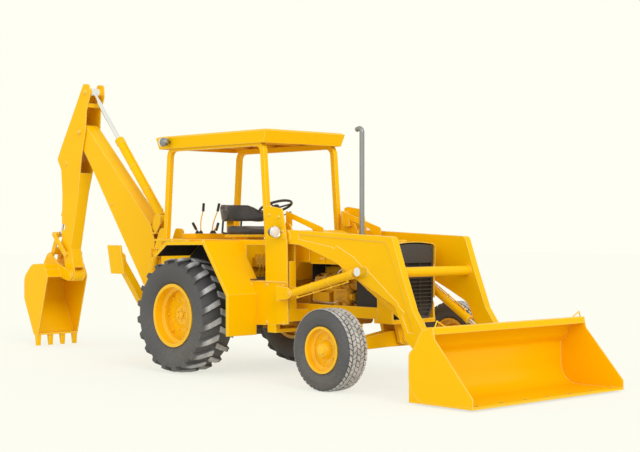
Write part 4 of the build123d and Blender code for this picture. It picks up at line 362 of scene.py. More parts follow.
def glass_lens():
    """Fluted lamp glass, its colour painted bright between its flutes and grey in them: painted highlight
    and shade.
    """
    material, tree, shader = new_material("lamp_glass")
    flutes = new_node(tree, "TexWave")
    flutes.bands_direction = "Y"
    set_inputs(flutes, Scale=28)
    tree.links.new(object_place(tree), flutes.inputs["Vector"])
    flute = flutes.outputs["Fac"]
    tree.links.new(bump_node(tree, flute, 0.5, 0.002), shader.inputs["Normal"])
    # Painted highlight and shade that follow the flutes
    painted_flute_light = mix_colour(tree, flute, (0.95, 0.93, 0.92, 1), (0.62, 0.62, 0.64, 1))
    tree.links.new(painted_flute_light, shader.inputs["Base Color"])
    set_inputs(shader, Roughness=0.12, Coat_Weight=1.0)
    return material


def seat_vinyl():
    """Grained vinyl with a soft sheen."""
    material, tree, shader = surface("seat_vinyl", (0.036, 0.036, 0.039, 1), 0.38, dust=0.15, fade=0.3,
        peel=900.0, bump=0.05, edge=0.003, edge_glint_colour=grey(0.16), edge_glint_share=0.35)
    cells = new_node(tree, "TexVoronoi")
    cells.feature = "DISTANCE_TO_EDGE"
    set_inputs(cells, Scale=260)
    tree.links.new(object_place(tree), cells.inputs["Vector"])
    height = span_node(tree, cells.outputs["Distance"], 0, 0.12)
    grain = bump_node(tree, height, 0.35, 0.0008, shader.inputs["Normal"].links[0].from_socket)
    tree.links.new(grain, shader.inputs["Normal"])
    set_inputs(shader, Sheen_Weight=0.15)
    return material


def grey(level):
    """Neutral colour."""
    return level, level, level, 1


YELLOW = (0.945, 0.524, 0, 1)
# Paler yellow of the painted highlight along the edges of yellow plates
GLINT_YELLOW = (1.0, 0.8, 0.27, 1)
PAINTED = dict(coat=0.01, dust=0.01, edge=0.008, gain=8.0, edge_glint_colour=GLINT_YELLOW, edge_glint_share=0.95)
# Colour and roughness of each finish, and where it departs from the usual surface
FINISH_ROWS = {
    "body_yellow": (YELLOW, 0.34, dict(PAINTED, specular=0.06, fade=0.06, bump=0.05)),
    "tool_yellow": (YELLOW, 0.3, dict(PAINTED, specular=0.1, fade=0.08, bump=0.06)),
    # Engine yellow, darker than the body paint and heavily darkened low down and on level faces: painted
    # shade of the engine bay, with grime
    "shaded_grimy_engine_yellow": ((0.72, 0.37, 0.006, 1), 0.45, dict(specular=0.4, dust=0.9, fade=0.7, peel=160.0,
        bump=0.35, edge_glint_colour=(0.95, 0.66, 0.15, 1), dust_and_shade_colour=(0.045, 0.033, 0.02, 1))),
    "rim_yellow": (YELLOW, 0.28, dict(coat=0.12, specular=0.3, dust=0.08, fade=0.1, bump=0.05, edge=0.004,
        edge_glint_colour=GLINT_YELLOW, edge_glint_share=0.6)),
    # Near-black finish: painted shade on the sheets under the fenders and in the engine bay, and the dark
    # hood seams
    "shade_and_seam_black": ((0.022, 0.019, 0.017, 1), 0.8, dict(specular=0.2, dust=0.5, fade=0.3, peel=90.0,
        bump=0.5)),
    "grille_charcoal": ((0.05, 0.046, 0.044, 1), 0.52, dict(fade=0.3, edge_glint_colour=(0.12, 0.115, 0.11, 1),
        edge_glint_share=0.3)),
    "core_black": (grey(0.018), 0.7, dict(dust=0.4, fade=0.4, peel=120.0, bump=0.4)),
    "black_plastic": ((0.024, 0.024, 0.026, 1), 0.38, dict(dust=0.12, fade=0.2, peel=700.0, bump=0.1,
        edge=0.002, edge_glint_colour=grey(0.12), edge_glint_share=0.4)),
    "bright_chrome": ((0.82, 0.82, 0.83, 1), 0.14, dict(metal=1.0, dust=0.06, fade=0.08, peel=90.0,
        bump=0.015, edge=0.001)),
    "stack_steel": ((0.3, 0.31, 0.32, 1), 0.36, dict(metal=0.85, dust=0.4, fade=0.5, peel=60.0, bump=0.08,
        edge=0.002, dust_and_shade_colour=(0.16, 0.12, 0.1, 1))),
    "bolt_zinc": ((0.62, 0.6, 0.56, 1), 0.32, dict(metal=0.9, dust=0.3, fade=0.3, peel=300.0, bump=0.1,
        edge=0.001)),
    "worn_steel": ((0.46, 0.43, 0.39, 1), 0.42, dict(metal=0.8, dust=0.5, fade=0.6, peel=200.0, bump=0.3,
        edge=0.003, edge_glint_colour=(0.8, 0.78, 0.74, 1))),
    "lamp_case": (grey(0.05), 0.35, dict(coat=0.4, dust=0.2, fade=0.2, edge=0.002, edge_glint_colour=grey(0.4))),
}
FINISH = {name: surface(name, colour, rough, **rest)[0]
    for name, (colour, rough, rest) in FINISH_ROWS.items()}
FINISH["rear_rubber"] = rubber("rear_rubber", at(0, 0, REAR_RADIUS), 0.57, 0.59)
FINISH["front_rubber"] = rubber("front_rubber", at(FRONT_AXLE_X, 0, FRONT_RADIUS), 0.3725, 0.3795)
FINISH["lamp_glass"] = glass_lens()
FINISH["seat_vinyl"] = seat_vinyl()

# Finish of each solid, also of those that a dressed piece stands for
WORN_AS = {
    "body_yellow": """main_frame side_boxes hood cowl platform fender_left fender_right canopy_roof
        canopy_posts seat_base rear_frame front_support front_axle front_knuckle_left front_knuckle_right
        tie_rod""",
    "tool_yellow": """loader_arms loader_bucket lift_barrels dump_barrels swing_post boom dipper hoe_bucket
        dipper_link bucket_link boom_barrel crowd_barrel hoe_barrel stabilizer_left stabilizer_right
        stabilizer_barrel_left stabilizer_barrel_right""",
    "shaded_grimy_engine_yellow": "engine drivetrain",
    "rim_yellow": "rear_rim_left rear_rim_right front_rim_left front_rim_right",
    "grille_charcoal": "grille",
    "core_black": "radiator",
    "stack_steel": "exhaust_stack",
    "bright_chrome": """lift_rods dump_rods boom_rod crowd_rod hoe_rod stabilizer_rod_left
        stabilizer_rod_right""",
    "rear_rubber": "rear_tyre_left rear_tyre_right",
    "front_rubber": "front_tyre_left front_tyre_right",
    "lamp_case": "work_lamps",
    "black_plastic": "steering_wheel backhoe_controls",
    "seat_vinyl": "seat_cushion seat_back",
}


def dress_solids():
    """Gives every solid of the frame its finish."""
    for finish, names in WORN_AS.items():
        for name in names.split():
            slots = NODES[name].material_slots
            if not slots:
                NODES[name].data.materials.append(FINISH[finish])
            for slot in slots:
                slot.material = FINISH[finish]


# Modelling helpers

def add_piece(name, bm, finish, slot, stands_for=(), body="chassis", smooth=True, bevel=0, crisp=40):
    """Makes a mesh piece from a bmesh, rounds its edges, gives it a finish and lets it ride on its body."""
    piece = object_from(bm, name)
    piece.data.materials.append(FINISH[finish])
    if smooth:
        piece.data.shade_smooth()
        piece.data.set_sharp_from_angle(angle=radians(crisp))
    if bevel:
        rounding = piece.modifiers.new("rounded_edges", "BEVEL")
        rounding.width, rounding.segments, rounding.limit_method = bevel, 2, "ANGLE"
        rounding.angle_limit = radians(crisp)
    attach(piece, body)
    if stands_for:
        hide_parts(*stands_for)


def block(bm, low, high):
    """Block between two opposite corners."""
    middle, size = (low + high) / 2, high - low
    place = Matrix.Translation(middle) @ Matrix.Diagonal((*map(abs, size), 1))
    bmesh.ops.create_cube(bm, size=1, matrix=place)


def rod(bm, start, end, radius, sides, end_radius=None):
    """Round bar, or a taper, between two points."""
    line = end - start
    place = Matrix.Translation((start + end) / 2) @ line.to_track_quat("Z", "Y").to_matrix().to_4x4()
    bmesh.ops.create_cone(bm, cap_ends=True, segments=sides, radius1=radius,
        radius2=radius if end_radius is None else end_radius, depth=line.length, matrix=place)


def turned(bm, centre, axis, profile, steps):
    """Turned form: (distance along the axis, radius) points spun round it; ends at radius 0 close it."""
    axis = axis.normalized()
    side = axis.orthogonal().normalized()
    points = [bm.verts.new(centre + axis * along + side * radius) for along, radius in profile]
    edges = [bm.edges.new(pair) for pair in zip(points, points[1:])]
    bmesh.ops.spin(bm, geom=points + edges, cent=centre, axis=axis, angle=tau, steps=steps, use_merge=True)
    bmesh.ops.remove_doubles(bm, verts=bm.verts, dist=1e-5)
    bmesh.ops.recalc_face_normals(bm, faces=bm.faces)


def shift_grown(bm, grown, step):
    """Moves the points that an extrusion has added."""
    bmesh.ops.translate(bm, verts=[item for item in grown if isinstance(item, bmesh.types.BMVert)], vec=step)


def hex_bolt(bm, place, axis, width):
    """Bolt head on its washer, standing on a face."""
    axis = axis.normalized()
    rod(bm, place - axis * 0.001, place + axis * width * 0.1, width * 0.78, 14)
    rod(bm, place, place + axis * width * 0.62, width * 0.56, 6, width * 0.52)


def bolts(name, body, rows, width, finish):
    """Bolt heads on one body; a row is a place in millimetres and the direction it faces."""
    bm = bmesh.new()
    for x, y, z, axis in rows:
        hex_bolt(bm, at(x, y, z), Vector(axis), width)
    add_piece(name, bm, finish, "chrome", body=body, smooth=False)


def bent_tube(name, runs, radius, finish, slot, sides=8, body="chassis"):
    """Smooth tubes through points, made solid mesh; each run is one list of places."""
    curve = bpy.data.curves.new(name, "CURVE")
    curve.dimensions = "3D"
    curve.bevel_depth, curve.bevel_resolution, curve.use_fill_caps = radius, sides // 4, True
    for places in runs:
        spline = curve.splines.new("NURBS")
        spline.points.add(len(places) - 1)
        for point, place in zip(spline.points, places):
            point.co = (*place, 1)
        spline.order_u, spline.use_endpoint_u, spline.resolution_u = 3, True, 8
    maker = bpy.data.objects.new(name + "_line", curve)
    mesh = bpy.data.meshes.new_from_object(maker)
    bpy.data.objects.remove(maker)
    bm = bmesh.new()
    bm.from_mesh(mesh)
    bpy.data.meshes.remove(mesh)
    add_piece(name, bm, finish, slot, body=body)


def plastic(name, bm, **rest):
    """Black plastic piece."""
    add_piece(name, bm, "black_plastic", "black_plastic", **rest)


# Wheels

# One wall of the front tyre, from its bead to the tread: place across the tyre and radius
TYRE_WALL = [(-0.1033, 0.2045), (-0.1033, 0.222), (-0.118, 0.236), (-0.134, 0.262), (-0.1395, 0.292),
    (-0.1405, 0.296), (-0.1395, 0.3), (-0.134, 0.33), (-0.124, 0.352), (-0.1105, 0.3655), (-0.06, 0.3735)]
TYRE_INSIDE = [(0.08, 0.2045), (0.08, 0.3), (0, 0.345), (-0.08, 0.3), (-0.08, 0.2045)]
TYRE_CROWN = 0.376
# Place across the tread, half width, radius at the blocks' top and foot, turn of the row in block pitches
TREAD_ROWS = ((-0.094, 0.0155, 0.3795, 0.366, 0), (-0.048, 0.0185, 0.3838, 0.371, 0.5),
    (0, 0.0185, 0.385, 0.371, 0), (0.048, 0.0185, 0.3838, 0.371, 0.5), (0.094, 0.0155, 0.3795, 0.366, 0))
TREAD_BLOCKS, BLOCK_SHARE, ZIGZAG = 44, 0.8, 0.01


def front_tyre(side, sign):
    """Road tyre: turned carcass with five rows of staggered tread blocks and ringed walls."""
    bm = bmesh.new()
    centre = at(FRONT_AXLE_X, sign * FRONT_WHEEL_Y, FRONT_RADIUS)
    axis = Vector((0, sign, 0))
    far_wall = [(-across, radius) for across, radius in reversed(TYRE_WALL)]
    turned(bm, centre, axis, TYRE_WALL + [(0, TYRE_CROWN)] + far_wall + TYRE_INSIDE + TYRE_WALL[:1], 72)
    for across, half, top, foot, shift in TREAD_ROWS:
        size = Matrix.Diagonal((tau * top / TREAD_BLOCKS * BLOCK_SHARE, half * 2, top - foot, 1))
        for step in range(TREAD_BLOCKS):
            turn = tau * (step + shift) / TREAD_BLOCKS
            outward = Vector((sin(turn), 0, cos(turn)))
            along = Vector((cos(turn), 0, -sin(turn)))
            place = Matrix((along, axis, outward)).transposed().to_4x4()
            place.translation = centre + axis * across + outward * (top + foot) / 2
            made = bmesh.ops.create_cube(bm, size=1, matrix=place @ size)["verts"]
            # Zigzag: the block's two sides are set along the turn by opposite amounts
            for vert in made:
                offset = (vert.co - place.translation).dot(axis)
                vert.co += along * (ZIGZAG if offset > 0 else -ZIGZAG) * (1 if shift else -1)
    add_piece(f"road_tyre_{side}", bm, "front_rubber", "tyre", (f"front_tyre_{side}",),
        f"front_wheel_{side}", crisp=30)


def around(centre, radius, count, shift):
    """Places spread evenly round a wheel's axle; the shift is in steps."""
    turns = [tau * (step + shift) / count for step in range(count)]
    return [centre + Vector((sin(turn), 0, cos(turn))) * radius for turn in turns]


# End of the machine, axle, rows of nuts as (radius, count, shift, stand-off, width), number of rim clamps,
# rounding of the edges, hub cap and its steps, and the valve: foot and tip as (x, outward), rise and radius
WHEELS = (
    ("rear", (0, REAR_WHEEL_Y, REAR_RADIUS), ((0.16, 8, 0.5, 0.0228, 0.03), (0.06, 6, 0, 0.0528, 0.02)),
     8, 0.0015, ((0.0525, 0), (0.0525, 0.04), (0.066, 0.038), (0.074, 0.026), (0.076, 0)), 32,
     ((0.24, 0.03), (0.235, 0.085), 0.1, 0.006)),
    ("front", (FRONT_AXLE_X, FRONT_WHEEL_Y, FRONT_RADIUS), ((0.112, 6, 0.25, 0.0366, 0.026),), 0, 0.0012,
     ((0.1064, 0), (0.1064, 0.052), (0.112, 0.052), (0.114, 0.046), (0.126, 0.043), (0.132, 0.03),
      (0.134, 0)), 40, ((0.15, 0.035), (0.145, 0.075), 0.02, 0.005)))


def wheel_hardware():
    """Nuts, hub caps, rim clamps and valves of the four wheels."""
    for side, sign in SIDES:
        axis = Vector((0, sign, 0))
        for end, (x, y, z), nuts, clamps, rounding, cap, steps, (foot, tip, rise, thick) in WHEELS:
            centre = at(x, sign * y, z)
            body = f"{end}_wheel_{side}"
            bm = bmesh.new()
            for radius, count, shift, stand, width in nuts:
                for place in around(centre, radius, count, shift):
                    hex_bolt(bm, place + axis * stand, axis, width)
            for place in around(centre, 0.238, clamps, 0):
                rod(bm, place + axis * 0.0225, place + axis * 0.04, 0.016, 12)
            add_piece(f"{end}_wheel_nuts_{side}", bm, "rim_yellow", "rim_paint", body=body, smooth=False,
                bevel=rounding)
            bm = bmesh.new()
            turned(bm, centre, axis, cap, steps)
            start, stop = (centre + Vector((ahead, 0, rise)) + axis * out for ahead, out in (foot, tip))
            rod(bm, start, stop, thick, 8)
            add_piece(f"{end}_hub_cap_{side}", bm, "rim_yellow", "rim_paint", body=body)


# Driver's place

SEAT_X, SEAT_Z, SEAT_BACK_X = 50, 1440, 30
PAD_VOXEL, MOST_SWELL, CLOTH_FRAMES = 0.009, 0.008, 20
WHEEL_X, WHEEL_Z, WHEEL_TILT, WHEEL_RADIUS = 478, 1735, 22, 0.19
RIM_STEPS, RIM_THICKNESS, RIM_RIB = 72, 0.0135, 0.0008
CONSOLE_X = -680
# Foot, bow in metres along the machine, and end of each lever beside the driver
SIDE_LEVERS = (((519, 26, 1634), 0, (512, 175, 1672)), ((519, -26, 1634), 0, (512, -175, 1672)),
    ((300, -330, 978), 0.03, (240, -330, 1330)), ((360, -380, 978), 0.02, (300, -380, 1300)))
# Foot across the console, the rod's lean forward and sideways, and how high its grip reaches
LEVERS = ((-150, 10, -70, 175), (-100, 0, 40, 395), (60, 10, 95, 395), (90, 0, 60, 175))


def puffed(bm, name, body, stands_for, pressure):
    """Padded piece: the form is remeshed, blown up a little as cloth, and smoothed."""
    piece = object_from(bm, name)
    bpy.context.view_layer.objects.active = piece
    remesh = piece.modifiers.new("even_mesh", "REMESH")
    remesh.mode, remesh.voxel_size = "VOXEL", PAD_VOXEL
    bpy.ops.object.modifier_apply(modifier=remesh.name)
    rest = [vert.co.copy() for vert in piece.data.vertices]
    cloth = piece.modifiers.new("stuffing", "CLOTH")
    cloth.settings.use_pressure, cloth.settings.uniform_pressure_force = True, pressure
    cloth.settings.effector_weights.gravity = 0
    cloth.settings.quality = 4
    for step in range(1, CLOTH_FRAMES + 1):
        SCENE.frame_set(step)
    result = piece.evaluated_get(bpy.context.evaluated_depsgraph_get())
    blown = [vert.co.copy() for vert in result.data.vertices]
    piece.modifiers.remove(cloth)
    SCENE.frame_set(1)
    for vert, before, after in zip(piece.data.vertices, rest, blown):
        move = after - before
        vert.co = before + move * min(1.0, MOST_SWELL / max(move.length, 1e-9))
    piece.data.shade_smooth()
    levels = piece.modifiers.new("smooth_form", "SUBSURF")
    levels.levels = levels.render_levels = 1
    piece.data.materials.clear()
    piece.data.materials.append(FINISH["seat_vinyl"])
    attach(piece, body)
    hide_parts(stands_for)


def pillow(rounds):
    """Soft block two units across: a finely divided cube, relaxed and stretched back to its old reach."""
    bm = bmesh.new()
    bmesh.ops.create_cube(bm, size=2)
    bmesh.ops.subdivide_edges(bm, edges=bm.edges, cuts=13, use_grid_fill=True)
    for _ in range(rounds):
        bmesh.ops.smooth_vert(bm, verts=bm.verts, factor=0.5, use_axis_x=True, use_axis_y=True,
            use_axis_z=True)
    for axis in range(3):
        reach = max(abs(vert.co[axis]) for vert in bm.verts)
        for vert in bm.verts:
            vert.co[axis] /= reach
    return bm


def eased(value, start, end):
    """Smooth step from 0 at the start to 1 at the end."""
    share = min(1.0, max(0, (value - start) / (end - start)))
    return share * share * (3 - 2 * share)


def seat():
    """Cushion with a rolled front, and the backrest that wraps round the driver and drops to its arms."""
    half_length, half_width, half_depth = 0.2, 0.206, 0.038
    bm = pillow(6)
    middle = at(SEAT_X, 0, SEAT_Z + 43)
    for vert in bm.verts:
        along, across, up = vert.co
        dish = 0.012 * (1 - along * along) * (1 - across * across)
        crown = 0.01 * (1 - across ** 4)
        roll = 0.026 * eased(along, 0.45, 1.0)
        lift = up * half_depth + (crown - dish - roll if up > 0 else 0)
        taper = 1 - 0.1 * eased(abs(along), 0.5, 1.0)
        vert.co = middle + Vector((along * half_length, across * half_width * taper, lift))
    puffed(bm, "padded_seat", "chassis", "seat_cushion", 4.0)
    half_arc, half_height, back_radius = 1.57, 0.097, 0.27
    bm = pillow(4)
    middle = at(SEAT_BACK_X, 0, SEAT_Z + 235)
    for vert in bm.verts:
        along, thick, up = vert.co
        spread = along * half_arc
        drop = eased(abs(spread), 0.72, 1.12)
        tip = eased(abs(spread), 1.25, half_arc)
        height = up * half_height - (0.056 * drop + 0.03 * tip if up > 0 else -0.022 * tip) * abs(up)
        radius = back_radius + thick * (0.028 - 0.008 * tip) + 0.16 * height
        vert.co = middle + Vector((-cos(spread) * radius, sin(spread) * radius, height))
    bmesh.ops.recalc_face_normals(bm, faces=bm.faces)
    puffed(bm, "padded_backrest", "chassis", "seat_back", 5.0)
    bm = bmesh.new()
    for y in (-130, 130):
        rod(bm, at(-90, y, SEAT_Z - 6), at(-262, y, SEAT_Z + 20), 0.011, 12)
        rod(bm, at(-262, y, SEAT_Z + 20), at(-244, y, SEAT_Z + 180), 0.011, 12)
    add_piece("seat_stays", bm, "black_plastic", "black_paint")


def steering_wheel():
    """Finely ribbed rim, three tapered spokes and a domed hub cap."""
    tilt = radians(WHEEL_TILT)
    axis = Vector((-sin(tilt), 0, cos(tilt)))
    cross = axis.cross(LEFT)
    centre = at(WHEEL_X, 0, WHEEL_Z)
    radius = WHEEL_RADIUS - 0.0145
    bm = bmesh.new()
    for step in range(RIM_STEPS):
        turn, after = tau * step / RIM_STEPS, tau * (step + 1) / RIM_STEPS
        start = centre + (LEFT * cos(turn) + cross * sin(turn)) * radius
        end = centre + (LEFT * cos(after) + cross * sin(after)) * radius
        thick, next_thick = (RIM_THICKNESS + RIM_RIB * (place % 2) for place in (step, step + 1))
        rod(bm, start, end, thick, 10, next_thick)
    for step in range(3):
        turn = radians(90 + step * 120)
        out = LEFT * cos(turn) + cross * sin(turn)
        rod(bm, centre + out * 0.03 - axis * 0.012, centre + out * 0.172, 0.01, 10, 0.008)
    hub = [(0, 0), (0, 0.036), (0.03, 0.04), (0.04, 0.034), (0.046, 0.018), (0.048, 0)]
    turned(bm, centre - axis * 0.024, axis, hub, 32)
    plastic("steering_wheel_rim", bm, stands_for=("steering_wheel",), body="steering_wheel")


def console():
    """Console behind the seat, its bent lever rods, ribbed grips and rubber boots."""
    bm = bmesh.new()
    block(bm, at(CONSOLE_X - 120, -270, 1390.3), at(CONSOLE_X + 120, 270, 1450))
    top = [face for face in bm.faces if face.normal.z > 0.9]
    bmesh.ops.inset_region(bm, faces=top, thickness=0.02, depth=-0.004)
    add_piece("lever_console", bm, "body_yellow", "yellow_paint", ("backhoe_controls",), bevel=0.006)
    rods, grips, boots = [], bmesh.new(), bmesh.new()
    fold = 0.009
    for y, lean_x, lean_y, height in LEVERS:
        foot = at(CONSOLE_X, y, 1446)
        end = at(CONSOLE_X + lean_x, y + lean_y, 1390 + height)
        knee = foot.lerp(end, 0.45) + Vector((0, -0.022 if lean_y > 0 else 0.006, -0.01))
        shoulder = foot.lerp(end, 0.75) + Vector((0, 0.004, 0))
        rods.append([foot, foot + UP * 0.04, knee, shoulder, end])
        lean = (end - shoulder).normalized()
        for ring in range(7):
            start = end - lean * 0.085 + lean * ring * 0.0125
            rod(grips, start, start + lean * 0.011, 0.0155, 14)
        rod(grips, end - lean * 0.09, end + lean * 0.004, 0.0135, 14)
        for ring in range(4):
            wide = 0.03 - 0.005 * ring
            rod(boots, foot + UP * fold * ring, foot + UP * fold * (ring + 1), wide, 20, wide - 0.004)
    bent_tube("lever_rods", rods, 0.0065, "body_yellow", "yellow_paint", sides=12)
    plastic("lever_grips", grips, bevel=0.0015)
    plastic("lever_boots", boots)


def dashboard():
    """Dials on the steering pedestal, column and side levers, pedals and the ribbed floor mat."""
    lean = Vector((-0.514, 0, 0.857))
    plate = bmesh.new()
    for step in range(6):
        start = at(690 + step * 17, 0, 1384 + step * 10.2)
        block(plate, start + Vector((0, -0.104, -0.004)), start + Vector((0.018, 0.104, 0.01)))
    add_piece("instrument_plate", plate, "grille_charcoal", "black_paint", bevel=0.002)
    rims, faces = bmesh.new(), bmesh.new()
    across = lean.cross(LEFT)
    for y, radius in ((-68, 0.024), (0, 0.034), (68, 0.024)):
        place = at(742, y, 1426)
        face = place + lean * 0.005
        rim = [(0, radius), (0.01, radius), (0.012, radius - 0.003), (0.009, radius - 0.006),
            (0, radius - 0.006)]
        turned(rims, place, lean, rim, 28)
        rod(faces, place, place + lean * 0.004, radius - 0.006, 28)
        for mark in range(7):
            turn = radians(-120 + 40 * mark)
            out = LEFT * sin(turn) + across * cos(turn)
            rod(rims, face + out * (radius - 0.013), face + out * (radius - 0.008), 0.0008, 6)
        rod(rims, face, face + LEFT * 0.01 + across * 0.012, 0.0012, 6)
    add_piece("dial_rims", rims, "bright_chrome", "chrome")
    plastic("dial_faces", faces)
    runs, knobs = [], bmesh.new()
    for foot, bow, end in SIDE_LEVERS:
        foot, end = at(*foot), at(*end)
        runs.append([foot, foot.lerp(end, 0.5) + FORWARD * bow, end])
        bmesh.ops.create_icosphere(knobs, subdivisions=3, radius=0.017, matrix=Matrix.Translation(end))
    bent_tube("side_levers", runs, 0.006, "black_plastic", "black_plastic", sides=12)
    plastic("lever_knobs", knobs)
    pedals = bmesh.new()
    for y in (-290, -190, 210):
        block(pedals, at(700, y - 38, 1058), at(712, y + 38, 1130))
        rod(pedals, at(710, y, 1095), at(830, y, 982), 0.009, 10)
        for rib in range(5):
            rod(pedals, at(699, y - 34, 1065 + rib * 14), at(699, y + 34, 1065 + rib * 14), 0.003, 6)
    plastic("foot_pedals", pedals, bevel=0.003)
    mat = bmesh.new()
    block(mat, at(163, -445, 975), at(940, 445, 980))
    for rib in range(31):
        block(mat, at(176 + rib * 24, -435, 979), at(186 + rib * 24, 435, 983))
    plastic("floor_mat", mat, smooth=False)


def lamps():
    """Shell, bezel and fluted glass of the four work lamps."""
    glass, bezels, shells, bowls = (bmesh.new() for _ in range(4))
    for sign in (1, -1):
        # Place of one lamp of each pair, its radius, and whether it faces forward or back
        for x, y, z, radius, face in ((1165, 650, 1470, 0.06, 1), (-650, 617, 2450, 0.05, -1)):
            axis = FORWARD * face
            centre = at(x, sign * y, z)
            front = centre + axis * 0.052
            pane = [(0, radius - 0.006), (0.004, radius - 0.008), (0.009, radius - 0.025), (0.011, 0)]
            turned(glass, front, axis, pane, 40)
            rim = [(-0.016, radius), (-0.016, radius + 0.0015), (0.001, radius + 0.0015),
                (0.004, radius - 0.002), (0.001, radius - 0.007), (-0.001, radius - 0.007)]
            turned(bezels, front, axis, rim, 40)
            bowl = [(-0.038, 0), (-0.038, 0.02), (-0.032, 0.032), (-0.01, 0.044),
                (0.016, radius - 0.006), (0.037, radius + 0.001)]
            turned(shells if face > 0 else bowls, centre, axis, bowl, 40)
            rod(bezels, centre - axis * 0.04, centre - axis * 0.036, 0.006, 8)
    add_piece("lamp_glasses", glass, "lamp_glass", "lamp_case")
    add_piece("lamp_bezels", bezels, "bright_chrome", "chrome")
    add_piece("lamp_shells", shells, "lamp_case", "lamp_case")
    add_piece("rear_lamp_bowls", bowls, "stack_steel", "lamp_case")


def arch_shade_sheets():
    """Near-black sheets under both fenders and on the walls beside the rear wheels: painted shade over
    yellow that lies in shade.
    """
    fold = [(-384, 1212), (-189, 1353), (441, 1361), (826, 838), (826, 430)]
    wall = [(-388, 1200), (-192, 1346), (438, 1354), (556, 1195), (556, 985), (634, 962), (634, 806),
        (-292, 866)]
    width, sheet, wall_sheet = 0.456, 0.004, 0.003
    bm = bmesh.new()
    for sign in (1, -1):
        # Sheet under the fender, one flat run after another
        for (x0, z0), (x1, z1) in zip(fold, fold[1:]):
            start, end = at(x0, sign * 712, z0), at(x1, sign * 712, z1)
            run = end - start
            turn = Matrix.Rotation(-atan2(run.z, run.x), 4, "Y")
            size = Matrix.Diagonal((run.length, width, sheet, 1))
            bmesh.ops.create_cube(bm, size=1, matrix=Matrix.Translation((start + end) / 2) @ turn @ size)
        points = [bm.verts.new(at(x, sign * 479, z)) for x, z in wall]
        edges = [bm.edges.new((points[index - 1], points[index])) for index in range(len(points))]
        face = bmesh.ops.edgeloop_fill(bm, edges=edges)["faces"]
        shift_grown(bm, bmesh.ops.extrude_face_region(bm, geom=face)["geom"], LEFT * sign * wall_sheet)
    bmesh.ops.recalc_face_normals(bm, faces=bm.faces)
    add_piece("arch_shade_sheets", bm, "shade_and_seam_black", "black_paint", smooth=False)


# Engine, hood and grille

BELT_X, DYNAMO_Y, DYNAMO_Z = 1903, -235, 835
# Half of the hood's section as (y, z), from its lower edge to its middle: inside the sheet and outside it
HOOD_INSIDE = [(284, 1160), (284, 1328), (262, 1350), (120, 1366), (0, 1370)]
HOOD_OUTSIDE = [(290, 1160), (290, 1333), (268, 1356), (235, 1364), (120, 1374.5), (0, 1378)]
MESH_HALF, MESH_X, MESH_COLUMNS, MESH_ROWS = 245, 2463, 38, 30


def mirrored(half):
    """Whole section from one half: the same points on the right side and then on the left."""
    return [(-y, z) for y, z in half] + [(y, z) for y, z in reversed(half) if y]


def bay_shade_sheets():
    """Near-black sheets inside the hood and on the bulkhead behind the engine: painted shade that darkens
    the engine bay.
    """
    bm = bmesh.new()
    block(bm, at(1338.5, -262, 990), at(1341, 262, 1340))
    points = [bm.verts.new(at(1345, *point)) for point in mirrored(HOOD_INSIDE)]
    edges = [bm.edges.new(pair) for pair in zip(points, points[1:])]
    grown = bmesh.ops.extrude_edge_only(bm, edges=edges)["geom"]
    shift_grown(bm, grown, FORWARD * 1.05)
    sheet = [item for item in grown if isinstance(item, bmesh.types.BMFace)]
    bmesh.ops.solidify(bm, geom=sheet, thickness=0.002)
    bmesh.ops.recalc_face_normals(bm, faces=bm.faces)
    add_piece("bay_shade_sheets", bm, "shade_and_seam_black", "black_paint", smooth=False)


def valve_bank():
    """Control valve under the seat with its spools and steel pipes."""
    bm = bmesh.new()
    block(bm, at(166, -60, 1090), at(226, 190, 1190))
    runs = []
    for spool in range(5):
        y = -40 + spool * 50
        block(bm, at(166, y, 1085), at(232, y + 26, 1196))
        y += 13
        rod(bm, at(200, y, 1190), at(200, y, 1232), 0.012, 14)
        rod(bm, at(226, y, 1120), at(240, y, 1120), 0.013, 6)
        runs.append([at(238, y, 1120), at(252, y, 1108), at(250, y - 6, 1040), at(214, y - 26, 992)])
    add_piece("valve_bank", bm, "shaded_grimy_engine_yellow", "engine_paint", bevel=0.003)
    bent_tube("valve_pipes", runs, 0.007, "shaded_grimy_engine_yellow", "engine_paint")


